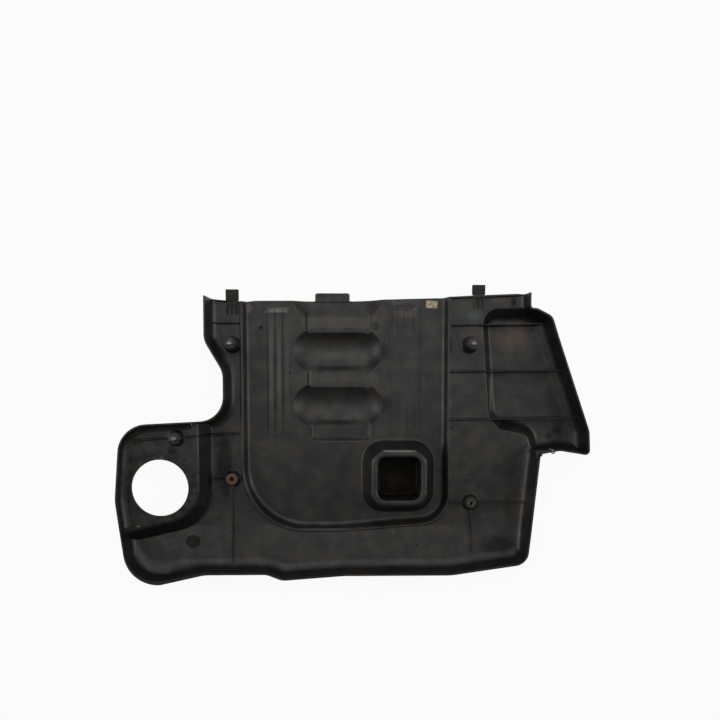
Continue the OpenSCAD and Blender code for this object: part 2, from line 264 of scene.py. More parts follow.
@dataclass(frozen=True)
class Outline:
    """Closed outline of straight edges and round corners, anticlockwise, in millimetres."""

    corners: tuple[Corner, ...]
    arc_step: float = 6.0

    def corner(self, i: int, shift: float, spread: float) -> list[Point]:
        """Points of one corner at an offset.

        Args:
            i: Number of the corner.
            shift: Offset of all edges outwards.
            spread: Further offset, times the flare of each edge.

        Returns:
            The points of its arc, or the one point of a sharp corner.
        """
        before, here, after = (self.corners[(i + k) % len(self.corners)] for k in (-1, 0, 1))
        place = Vector((here.x, here.y))
        a = (place - Vector((before.x, before.y))).normalized()
        b = (Vector((after.x, after.y)) - place).normalized()
        out_a, out_b = Vector((a.y, -a.x)), Vector((b.y, -b.x))
        off_a = shift + spread * before.flare
        off_b = shift + spread * here.flare
        turn = math.atan2(a.x * b.y - a.y * b.x, a.dot(b))
        det = out_a.x * out_b.y - out_a.y * out_b.x
        if abs(det) < 0.03:
            meet = place + out_a * (off_a + off_b) / 2
        else:
            ca, cb = place.dot(out_a) + off_a, place.dot(out_b) + off_b
            meet = Vector((ca * out_b.y - cb * out_a.y, cb * out_a.x - ca * out_b.x)) / det
        steps = math.ceil(math.degrees(abs(turn)) / self.arc_step)
        if here.radius < 2 or math.degrees(abs(turn)) < 3:
            return [tuple(meet)]
        side = math.copysign(1.0, turn)
        radius = max(0.4, here.radius + side * (off_a + off_b) / 2)
        start = meet - a * radius * math.tan(abs(turn) / 2)
        centre = start - out_a * radius * side
        arm = start - centre
        return [tuple(centre + Matrix.Rotation(turn * j / steps, 2) @ arm) for j in range(steps + 1)]

    def ring(self, shift: float, spread: float, z: float) -> Ring:
        """Whole outline at an offset and a height.

        Args:
            shift: Offset of all edges outwards.
            spread: Further offset, times the flare of each edge.
            z: Height of the ring.

        Returns:
            The points, as many at every offset.
        """
        return [(x, y, z) for i in range(len(self.corners)) for x, y in self.corner(i, shift, spread)]

    def count_before(self, i: int) -> int:
        """Number of ring points before corner i."""
        return sum(len(self.corner(j, 0.0, 0.0)) for j in range(i))


def loft(name: str, rings: Sequence[Ring], fold: int = 0, looped: bool = False) -> bpy.types.Object:
    """Skins rings with equal counts of points, lowest first.

    Args:
        name: Name of the body.
        rings: Its rings, anticlockwise from above.
        fold: Point to which the lowest face is folded from point 0.
        looped: Whether the last ring joins the first, with no end faces.

    Returns:
        The closed body.
    """
    n, m = len(rings[0]), len(rings)
    faces: list[tuple[int, ...]] = []
    for k in range(m if looped else m - 1):
        up = (k + 1) % m
        for i in range(n):
            j = (i + 1) % n
            faces.append((k * n + i, k * n + j, up * n + j, up * n + i))
    if not looped:
        if fold:
            faces.append(tuple(range(fold, -1, -1)))
            faces.append((0, *range(n - 1, fold - 1, -1)))
        else:
            faces.append(tuple(range(n - 1, -1, -1)))
        faces.append(tuple(range((m - 1) * n, m * n)))
    return from_points(name, [p for ring in rings for p in ring], [], faces)


def rectangle(x: float, y: float, half_x: float, half_y: float, radius: float) -> Outline:
    """Outline of a rectangle with round corners.

    Args:
        x: Place of its middle along X.
        y: Place of its middle along Y.
        half_x: Half its length along X.
        half_y: Half its length along Y.
        radius: Radius of its corners.

    Returns:
        The outline.
    """
    signs = ((-1, -1), (1, -1), (1, 1), (-1, 1))
    return Outline(tuple(Corner(x + sx * half_x, y + sy * half_y, radius) for sx, sy in signs))


def bar(low: Sequence[float], high: Sequence[float], bevel: float = 0.3) -> bpy.types.Object:
    """Small block with bevelled edges.

    Args:
        low: Its lowest corner.
        high: Its highest corner.
        bevel: Width of the bevel.

    Returns:
        The closed body.
    """
    deselect()
    size = Vector(high) - Vector(low)
    bpy.ops.mesh.primitive_cube_add(size=1.0, location=(Vector(low) + Vector(high)) / 2, scale=size)
    body = added("bar")
    bpy.ops.object.mode_set(mode="EDIT")
    bpy.ops.mesh.select_all(action="SELECT")
    bpy.ops.mesh.bevel(offset=bevel, segments=3)
    bpy.ops.object.mode_set(mode="OBJECT")
    return body


def groove(profile: Sequence[Point], x: float, y0: float, y1: float, z: float) -> bpy.types.Object:
    """Prism along Y that cuts a groove of a given section.

    Args:
        profile: Section, (x, z), anticlockwise seen against +Y.
        x: Place of the section's origin.
        y0: Lower end.
        y1: Upper end.
        z: Height of the section's origin.

    Returns:
        The closed body.
    """
    body = from_points("groove", [(x + px, y0, z + pz) for px, pz in profile], [], [range(len(profile))])
    activate(body)
    bpy.ops.object.mode_set(mode="EDIT")
    bpy.ops.mesh.select_all(action="SELECT")
    bpy.ops.mesh.extrude_region_move(TRANSFORM_OT_translate={"value": (0, y1 - y0, 0)})
    bpy.ops.mesh.select_all(action="SELECT")
    bpy.ops.mesh.normals_make_consistent(inside=False)
    bpy.ops.object.mode_set(mode="OBJECT")
    return body


def cylinder(x: float, y: float, low: float, high: float, radius: float, steps: int) -> bpy.types.Object:
    """Round cutter.

    Args:
        x: Place of its axis along X.
        y: Place of its axis along Y.
        low: Its lower end.
        high: Its upper end.
        radius: Its radius.
        steps: Sides of the circle.

    Returns:
        The closed body.
    """
    deselect()
    bpy.ops.mesh.primitive_cylinder_add(vertices=steps, radius=radius, depth=high - low,
                                        location=(x, y, (low + high) / 2))
    return added("cutter")


@dataclass(frozen=True)
class Wall:
    """Section of a wall between a floor and a level over it, rounded at its foot and its head."""

    height: float
    slope: float
    foot_radius: float
    head_radius: float
    steps: int = 7

    def foot(self, grow: float) -> list[Point]:
        """Offset and height of the points of the foot rounding.

        Args:
            grow: Distance by which the section is moved outwards along its normal.

        Returns:
            The points from the floor up.
        """
        lean = math.radians(self.slope)
        r = self.foot_radius
        centre = -(self.height - r + r * math.sin(lean)) * math.tan(lean) - r * math.cos(lean)
        first, last = -math.pi / 2, -lean
        return [(centre + (r + grow) * math.cos(f), r + (r + grow) * math.sin(f))
                for f in (first + (last - first) * i / self.steps for i in range(self.steps + 1))]

    def head(self, grow: float) -> list[Point]:
        """Offset and height of the points of the head rounding.

        Args:
            grow: Distance by which the section is moved outwards along its normal.

        Returns:
            The points from the wall up to the level.
        """
        lean = math.radians(self.slope)
        r = self.head_radius
        centre = r * math.cos(lean) - r * (1 - math.sin(lean)) * math.tan(lean)
        first, last = math.pi - lean, math.pi / 2
        return [(centre + (r - grow) * math.cos(f), self.height - r + (r - grow) * math.sin(f))
                for f in (first + (last - first) * i / self.steps for i in range(self.steps + 1))]

    def section(self, grow: float) -> list[Point]:
        """Whole section from the floor to the level."""
        return self.foot(grow) + self.head(grow)


@dataclass(frozen=True)
class Boss:
    """Place and height of a boss on the level cover."""

    name: str
    x: float
    y: float
    floor: float
    height: float
    bolted: bool = False
    rusty: bool = False

    @property
    def top(self) -> float:
        """Height of the boss top over the outer face."""
        return self.floor + self.height


FLANK_Z = 16.5
PANEL_Z = 2.5
PAN_Z = 40.0
BOSSES = (
    Boss("upper_left", -181.5, 139.0, FLANK_Z, 30.0, bolted=True),
    Boss("upper_right", 175.4, 139.0, FLANK_Z, 30.0, bolted=True),
    Boss("pan", -263.0, 0.0, PAN_Z, 13.0, bolted=True),
    Boss("lower_left", -183.6, -63.2, FLANK_Z, 11.0, rusty=True),
    Boss("lower_right", 178.0, -99.8, FLANK_Z, 11.0),
)
TONGUES = {"left": (-182.0, 203.5, 16.0), "right": (187.5, 212.5, 14.0)}
TONGUE_W, TONGUE_T = 16.0, 4.0
WALL_T = 2.5
TONGUE_Z = FLANK_Z - WALL_T + 0.3


@dataclass
class Shell:
    """The moulding: skirts, flanks, panel with humps and collar, raised pan, wing, ribs and bosses in one."""

    rim_z: float = 58.0
    wing_rim_z: float = 45.0
    draft: float = 4.0
    foot_r: float = 11.0
    wing_foot_r: float = 15.0
    block_z: float = -1.0
    wing_z: float = 2.5
    crease_y: float = -138.0
    band_rise: float = 0.13
    hump_pitch: float = 83.0
    hump_y: float = 47.5
    hump_r: float = 50.4
    hump_depth: float = 8.5
    hump_half: float = 35.5
    hump_x: float = -24.3
    collar: Point = (68.0, -61.0)
    collar_z: float = 45.0
    collar_half: float = 41.0
    well_half: float = 32.3
    hole: Point = (-289.0, -75.0)
    hole_r: float = 42.3
    boss_foot_r: float = 11.5
    boss_top_r: float = 9.0
    boss_bore_r: float = 6.6
    rib_t: float = 2.0
    rib_top: float = 23.0
    over: float = 1.0
    step_in: float = 0.5
    crease_corner: int = 9
    wing_section: Section = (46.0, 12.0, 4.0)
    panel_section: Section = (20.0, 7.0, 3.0)
    block_section: Section = (45.0, 2.0, 3.0)
    pan_section: Section = (37.0, 5.0, 6.0)
    collar_section: Section = (17.5, 4.0, 5.0)
    well_section: Section = (2.0, 3.0, 3.0)
    collar_corner_r: float = 20.0
    well_corner_r: float = 14.0
    low_rims: tuple[tuple[Point, Point], ...] = (
        ((276.5, -60.0), (400.0, 290.0)),
        ((246.0, 150.0), (291.0, 290.0)))
    cut_top: float = 110.0
    beyond: float = 500.0
    hole_reach: float = 12.0
    bore_under: float = 0.3
    bore_over: float = 8.0
    louvres: tuple[float, ...] = (-131.0, -119.4, -107.3)
    louvre_ends: Point = (-0.8, 193.5)

    def __post_init__(self) -> None:
        """Sets the outlines."""
        self.contour = Outline(tuple(Corner(*c) for c in (
            (-345, self.crease_y), (-335, -215, 50, 2.2), (-285, -216.5, 40, 1.8), (-226, -203, 60, 1.2),
            (-129, -202.5, 24, 1.2), (-106, -211.5, 24, 1.2), (-15, -204.3, 90, 1.2), (145, -203.5, 90, 1.2),
            (258, -186.5, 22), (262.8, self.crease_y), (274, -26, 3), (306, -20, 20), (352.3, -27.5, 8),
            (350.5, 10, 40), (303.5, 146, 30), (292.5, 180, 18), (270, 191.5, 10), (261, 192.3, 3),
            (260.5, 240), (-217, 240), (-217.5, 143, 34), (-190.5, 97, 34), (-190.5, 27, 36),
            (-342.5, 19, 44), (-351, -92, 60))))
        self.panel_line = Outline((Corner(-167, 245), Corner(-167, -142, 95), Corner(-20, -142, 90),
                                   Corner(143, -129, 42), Corner(142.5, 245)))
        self.block_line = Outline((Corner(-73, 245), Corner(-65.5, -8, 10), Corner(26, -8, 10),
                                   Corner(26, 245)))
        self.pan_line = Outline((Corner(-232.5, -116, 51), Corner(-232.5, 60), Corner(-420, 60),
                                 Corner(-420, -163, 1, 1.1)))
        self.wing_line = Outline((Corner(205, 29, 10), Corner(221, 11.5, 12), Corner(263, 3, 12),
                                  Corner(283, -60, 4), Corner(420, -60, 2), Corner(420, 193, 2),
                                  Corner(192.5, 193, 24, 0.7)))

    def tray(self, floor: float, grow: float, push: float = 0.0, foot_r: float = 0.0) -> bpy.types.Object:
        """Space inside the skirt over one floor, its lower band folded up.

        Args:
            floor: Height of the floor.
            grow: Distance by which the space is grown.
            push: Distance by which the skirt is moved outwards.
            foot_r: Radius at the foot of the skirt, where it isn't the usual one.

        Returns:
            The closed body.
        """
        wall = Wall(self.rim_z - floor, self.draft, foot_r or self.foot_r, 1.0, 9)
        shift = push - WALL_T
        lean = math.radians(self.draft)
        rings = [self.contour.ring(shift, d, floor + z) for d, z in wall.foot(grow)]
        rings.append(self.contour.ring(shift, grow / math.cos(lean) + self.over * math.tan(lean),
                                       self.rim_z + self.over))
        fold = self.contour.count_before(self.crease_corner)
        a, b = Vector(rings[0][0][:2]), Vector(rings[0][fold][:2])
        along = (b - a).normalized()
        out = Vector((along.y, -along.x))
        raised = [[(x, y, z + self.band_rise * max(0.0, (Vector((x, y)) - a).dot(out))) for x, y, z in ring]
                  for ring in rings]
        return loft("tray", raised, fold)

    def pocket(self, line: Outline, floor: float, wall: Wall, grow: float, up: float = 0.5) -> bpy.types.Object:
        """Hollow with rounded walls, sunk below a level.

        Args:
            line: Its outline at the level.
            floor: Height of its floor.
            wall: Section of its wall.
            grow: Distance by which it is grown.
            up: Height by which it goes on over the level.

        Returns:
            The closed body.
        """
        section = wall.section(grow)
        rings = [line.ring(0.0, d, floor + z) for d, z in section]
        rings.append(line.ring(0.0, section[-1][0], floor + wall.height - grow + up))
        return loft("pocket", rings)

    def island(self, line: Outline, floor: float, wall: Wall, grow: float) -> bpy.types.Object:
        """Raised part with rounded walls, standing on a floor.

        Args:
            line: Its outline at its top.
            floor: Height of the floor.
            wall: Section of its wall.
            grow: Distance by which the space over it is grown.

        Returns:
            The closed body.
        """
        section = wall.section(grow)
        rings = [line.ring(0.0, -section[0][0], floor - grow - self.over)]
        rings += [line.ring(0.0, -d, floor + z) for d, z in section]
        return loft("island", rings)

    def hump(self, y: float, grow: float) -> bpy.types.Object:
        """Trough with ball ends, sunk into the block.

        Args:
            y: Place of its middle line.
            grow: Distance by which it is grown.

        Returns:
            The closed body.
        """
        centre = self.block_z - self.hump_depth + self.hump_r
        edge = math.sqrt(self.hump_r**2 - (centre - PANEL_Z) ** 2)
        r = self.hump_r + grow
        half = self.hump_half + edge
        line = rectangle(self.hump_x, y, half, edge, edge)
        angles = [math.radians(a) for a in (0.8, *range(3, 42, 3), 41.5)]
        return loft("hump", [line.ring(0.0, r * math.sin(f) - edge, centre - r * math.cos(f)) for f in angles])

    def pan_rounding(self, grow: float) -> bpy.types.Object:
        """Rounding between the raised pan and the skirt.

        Args:
            grow: Distance by which the space over it is grown.

        Returns:
            The closed body.
        """
        low = PAN_Z - grow - self.over / 2
        inset = -8.0
        body = loft("rounding", [self.pan_line.ring(inset, 0.0, z) for z in (low, self.rim_z - 1)])
        return combine(body, self.tray(PAN_Z, grow, self.step_in), Combine.CUT)

    def space(self, grow: float) -> bpy.types.Object:
        """Space inside the cover, or its outer form where grow is the wall's thickness.

        Args:
            grow: Distance by which the space is grown.

        Returns:
            The closed body.
        """
        body = self.tray(FLANK_Z, grow)
        wing = self.tray(self.wing_z, grow, -self.step_in, self.wing_foot_r)
        wing_wall = Wall(FLANK_Z - self.wing_z, *self.wing_section)
        drop = self.pocket(self.wing_line, self.wing_z, wing_wall, grow, self.wing_foot_r + 1)
        combine(body, combine(wing, drop, Combine.COMMON), Combine.JOIN)
        panel_wall = Wall(FLANK_Z - PANEL_Z, *self.panel_section)
        combine(body, self.pocket(self.panel_line, PANEL_Z, panel_wall, grow), Combine.JOIN)
        block_wall = Wall(PANEL_Z - self.block_z, *self.block_section, steps=4)
        combine(body, self.pocket(self.block_line, self.block_z, block_wall, grow), Combine.JOIN)
        for i in range(3):
            combine(body, self.hump(self.hump_y + i * self.hump_pitch, grow), Combine.JOIN)
        pan_wall = Wall(PAN_Z - FLANK_Z, *self.pan_section)
        combine(body, self.island(self.pan_line, FLANK_Z, pan_wall, grow), Combine.CUT)
        combine(body, self.pan_rounding(grow), Combine.CUT)
        collar_wall = Wall(self.collar_z - PANEL_Z, *self.collar_section)
        collar_line = rectangle(*self.collar, self.collar_half, self.collar_half, self.collar_corner_r)
        combine(body, self.island(collar_line, PANEL_Z, collar_wall, grow), Combine.CUT)
        well_wall = Wall(self.collar_z - PANEL_Z, *self.well_section)
        well_line = rectangle(*self.collar, self.well_half, self.well_half, self.well_corner_r)
        combine(body, self.pocket(well_line, PANEL_Z, well_wall, grow), Combine.JOIN)
        return body

    @staticmethod
    def blade(points: Sequence[tuple[float, float, float, float]], thick: float = 2.0) -> bpy.types.Object:
        """Thin rib with a flared foot and a rounded top.

        Args:
            points: Place, top and floor (x, y, top, floor) along the rib.
            thick: Its thickness.

        Returns:
            The closed body, reaching down into the wall.
        """
        def round_it(radius: float) -> list[tuple[float, float, int]]:
            """Line round the rib at a distance.

            Args:
                radius: The distance from its middle.

            Returns:
                Place of each point, and the number of the rib's point beside it.
            """
            places = [Vector(p[:2]) for p in points]
            last = len(places) - 1
            ahead = [(places[i + 1] - places[i]).normalized() for i in range(last)]
            found = []
            for side, order in ((1, range(last + 1)), (-1, range(last, -1, -1))):
                for i in order:
                    along = (ahead[max(i - 1, 0)] + ahead[min(i, last - 1)]).normalized()
                    found.append((*(places[i] + Vector((along.y, -along.x)) * side * radius), i))
            return found

        rings = []
        sunk = -20.0
        for radius, rise in ((thick / 2 + 0.9, None), (thick / 2 + 0.9, 0.0), (thick / 2 + 0.3, 0.5),
                             (thick / 2, 1.3)):
            rings.append([(x, y, sunk if rise is None else points[i][3] + rise)
                          for x, y, i in round_it(radius)])
        for radius, drop in ((thick / 2 - 0.15, 0.45), (thick / 2 - 0.35, 0.12), (thick / 2 - 0.6, 0.0)):
            rings.append([(x, y, max(points[i][2] - drop, points[i][3] + 1.6 - drop))
                          for x, y, i in round_it(radius)])
        return loft("blade", rings)

    def ribs(self) -> list[bpy.types.Object]:
        """All ribs, the lip of the upper edge and the gussets of the tongues.

        Returns:
            The closed bodies.
        """
        top, flank, wing = self.rib_top, FLANK_Z, self.wing_z
        routes = [
            [(146, 168, top, flank), (194, 168.7, top, flank), (214, 169, top, wing), (286, 170.5, top, wing)],
            [(146, 98.6, top, flank), (198, 99.2, top, flank), (219, 99.4, top, wing), (316, 100.5, top, wing)],
            [(146, 26.3, top, flank), (203, 27, top, flank), (226, 27.4, top, wing), (341, 29, top, wing)],
            [(-222, 171.4, top, flank), (-172, 171.4, top - 3, flank)],
            [(-343, -4.5, PAN_Z + 4, PAN_Z), (-251, 1, PAN_Z + 4, PAN_Z), (-236, 2, PAN_Z + 3.6, PAN_Z),
             (-214, 3.4, 33, flank), (-173, 5.7, flank + 3, flank)],
            [(-219, -63.2, top, flank), (-188, -63.2, top, flank)],
            [(-180, -63.2, top, flank), (-171, -63.2, top - 2, flank)],
            [(-183.6, -60, top, flank), (-183.6, -30, flank + 3, flank)],
            [(-184, -67, top, flank), (-184.5, -202, top + 6, flank)],
            [(146, -100.5, top, flank), (173, -100, top, flank)],
            [(182, -99.8, top, flank), (272, -98, top + 4, flank)],
            [(178.5, -104, top, flank), (180, -175, top + 2, flank)],
            [(-223, 206, flank + 4, flank), (-172, 203, flank + 4, flank)],
            [(147, 208.8, flank + 4, flank), (262, 213.4, flank + 4, flank)],
        ]
        bodies = [self.blade(route, self.rib_t) for route in routes]
        for x, y, _ in TONGUES.values():
            for i in (-1, 0, 1):
                gusset = [(x + i * 6.5, y - 1, flank + 4.6, flank), (x + i * 6.5, y - 19, flank + 1.7, flank)]
                bodies.append(self.blade(gusset, 1.8))
        return bodies

    def boss(self, place: Boss) -> bpy.types.Object:
        """Conical boss with a rounded foot and top edge.

        Args:
            place: Where it stands and how high.

        Returns:
            The closed body.
        """
        foot, head, rise = self.boss_foot_r, self.boss_top_r, place.height
        body = spin_profile("boss", [(0, -2), (foot + 2.4, -2), (foot + 2.4, 0), (foot + 1.3, 0.25),
                                     (foot + 0.5, 0.9), (foot, 2.2), (head + 0.1, rise - 0.8),
                                     (head - 0.2, rise - 0.2), (head - 0.8, rise), (0, rise)], 56)
        body.data.transform(Matrix.Translation((place.x, place.y, place.floor)))
        return body

    @staticmethod
    def bead(line: Outline, gap: float, radius: float, height: float) -> bpy.types.Object:
        """Round bead along an outline.

        Args:
            line: The outline.
            gap: Distance of the bead's middle outside it.
            radius: Radius of the bead.
            height: Height of the bead's middle.

        Returns:
            The closed body.
        """
        steps = 14
        rings = [line.ring(gap + radius * math.sin(a), 0.0, height - radius * math.cos(a))
                 for a in (math.tau * i / steps for i in range(steps))]
        return loft("bead", rings, looped=True)

    def stripes(self) -> list[bpy.types.Object]:
        """Louvre grooves left of the humps and the fine lines of the field on the right.

        Returns:
            The closed bodies.
        """
        slot = [(-1.5, 0.5), (-1.4, 0.0), (-1.1, -0.75), (-0.1, -0.75), (0.1, 0.0), (0.1, 0.5)]
        cuts = [groove(slot, x, self.louvre_ends[0], self.louvre_ends[1], PANEL_Z) for x in self.louvres]
        line = [(-0.6, 0.5), (-0.45, 0.0), (-0.1, -0.6), (0.1, -0.6), (0.45, 0.0), (0.6, 0.5)]
        cuts += [groove(line, x, 3.0, 196.0, PANEL_Z) for x in (54.2, 58.6, 101.6)]
        cuts += [groove(line, x, 162.0, 196.0, PANEL_Z) for x in (67.0, 77.0, 90.5)]
        cuts += [groove(line, x, 6.0, 47.0, PANEL_Z) for x in (69.5, 82.5, 93.5)]
        cuts.append(bar((54.0, 0.9, PANEL_Z - 0.6), (104.0, 2.1, PANEL_Z + 0.5)))
        return cuts

    def louvre_faces(self) -> list[bpy.types.Object]:
        """Shallow wedges beside the louvre grooves and the lip over them.

        Returns:
            The closed bodies.
        """
        wedge = [(0.0, -1.0), (10.2, -1.0), (10.2, 0.0), (8.2, 0.06), (5.6, 0.2), (3.2, 0.42), (1.4, 0.68),
                 (0.6, 0.8), (0.15, 0.72), (0.0, 0.5)]
        faces = [groove(wedge, x, self.louvre_ends[0], self.louvre_ends[1], PANEL_Z) for x in self.louvres]
        low = self.louvre_ends[1]
        faces.append(bar((-140.0, low, PANEL_Z - 1.0), (-97.0, low + 1.3, PANEL_Z + 0.9)))
        return faces

    def eyelet(self) -> bpy.types.Object:
        """Small ring moulded on the edge beside the wing.

        Returns:
            The closed body.
        """
        steps = 12
        ring = spin_profile("eyelet", [(2.3 + 0.9 * math.cos(a), 0.9 * math.sin(a))
                                       for a in (math.tau * i / steps for i in range(steps))], 32)
        ring.data.transform(Matrix.Translation((295.8, -20.4, self.wing_rim_z - 0.1)))
        return ring

    def details(self) -> list[bpy.types.Object]:
        """Everything that stands on the inner face.

        Returns:
            The closed bodies.
        """
        bodies = self.ribs() + self.louvre_faces() + [self.boss(b) for b in BOSSES]
        bodies.append(self.bead(self.panel_line, 2.4, 1.9, FLANK_Z + 0.2))
        bodies += self.tongues()
        for x in (-49.5, -33.0, -14.5):
            bodies.append(bar((x, 197, -12), (x + 1.6, 220.5, -6.4)))
        bodies.append(bar((-61.5, 205.4, -12), (-2, 206.6, -6.8)))
        bodies.append(self.hook())
        return bodies

    @staticmethod
    def tongues() -> list[bpy.types.Object]:
        """The two tongues of the upper edge, rooted in its wall."""
        return [bar((x - TONGUE_W / 2, y - 4, TONGUE_Z), (x + TONGUE_W / 2, y + length, TONGUE_Z + TONGUE_T))
                for x, y, length in TONGUES.values()]

    def hook(self) -> bpy.types.Object:
        """Small block beside the wing, one corner cut off and its top edge chamfered.

        Returns:
            The closed body.
        """
        top = self.wing_rim_z + 6
        base = [(270.0, -30.0), (282.5, -30.0), (288.5, -26.0), (288.5, -18.0), (270.0, -18.0)]
        crown = [(271.0, -29.2), (282.2, -29.2), (287.6, -25.5), (287.6, -18.8), (271.0, -18.8)]
        return loft("hook", [[(x, y, 0.0) for x, y in base], [(x, y, top - 1) for x, y in base],
                             [(x, y, top) for x, y in crown]])

    def edge_cut(self) -> bpy.types.Object:
        """Body past the upper edge, with the centre tab left standing.

        Returns:
            The closed body.
        """
        tab_r, left, right, low, high = 3.5, -59.0, -6.0, 206.5, 219.0
        turns = [math.pi / 2 * i / 6 for i in range(7)]
        tab = [(left, low)]
        tab += [(left + tab_r - tab_r * math.cos(a), high - tab_r + tab_r * math.sin(a)) for a in turns]
        tab += [(right - tab_r + tab_r * math.sin(a), high - tab_r + tab_r * math.cos(a)) for a in turns]
        tab += [(right, low)]
        edge = [(-260, 212), (-217, 207), (-192, 204.5), (-170, 203.5), (-150, 206.1), *tab, (17, 207.2),
                (92, 209.4), (139, 210.4), (178, 212.5), (246, 215.2), (258, 213.4), (300, 213.2),
                (300, 290), (-260, 290)]
        edge.reverse()
        low, high = ([(x, y, z) for x, y in edge] for z in (-60.0, 140.0))
        return loft("edge_cut", [low, high] if self.anticlockwise(edge) else [low[::-1], high[::-1]])

    @staticmethod
    def anticlockwise(points: Sequence[Point]) -> bool:
        """Whether a closed outline runs anticlockwise."""
        return sum(a[0] * b[1] - b[0] * a[1] for a, b in zip(points, [*points[1:], points[0]])) > 0

    def build(self, material: bpy.types.Material) -> bpy.types.Object:
        """Models the whole moulding.

        Args:
            material: The moulded plastic.

        Returns:
            The finished shell.
        """
        shell = self.space(WALL_T)
        shell.name = "shell_moulding"
        fine = 0.01
        low, high = (-self.beyond,) * 3, (self.beyond, self.beyond, self.rim_z)
        combine(shell, bar(low, high, fine), Combine.COMMON)
        void = self.space(0.0)
        for body in self.stripes():
            combine(void, body, Combine.JOIN)
        for body in self.details():
            combine(void, body, Combine.CUT)
        combine(shell, void, Combine.CUT)
        low, high = PAN_Z - self.hole_reach, PAN_Z + self.hole_reach
        combine(shell, cylinder(*self.hole, low, high, self.hole_r, 120), Combine.CUT)
        for (x0, y0), (x1, y1) in self.low_rims:
            combine(shell, bar((x0, y0, self.wing_rim_z), (x1, y1, self.cut_top), fine), Combine.CUT)
        combine(shell, self.edge_cut(), Combine.CUT)
        combine(shell, self.eyelet(), Combine.JOIN)
        for body in self.tongues():
            combine(shell, body, Combine.JOIN)
        for b in BOSSES:
            low, high = b.floor - self.bore_under, b.top + self.bore_over
            combine(shell, cylinder(b.x, b.y, low, high, self.boss_bore_r, 48), Combine.CUT)
        lay_down(shell)
        smooth(shell)
        dress(shell, material, ["cover_shell"])
        return shell


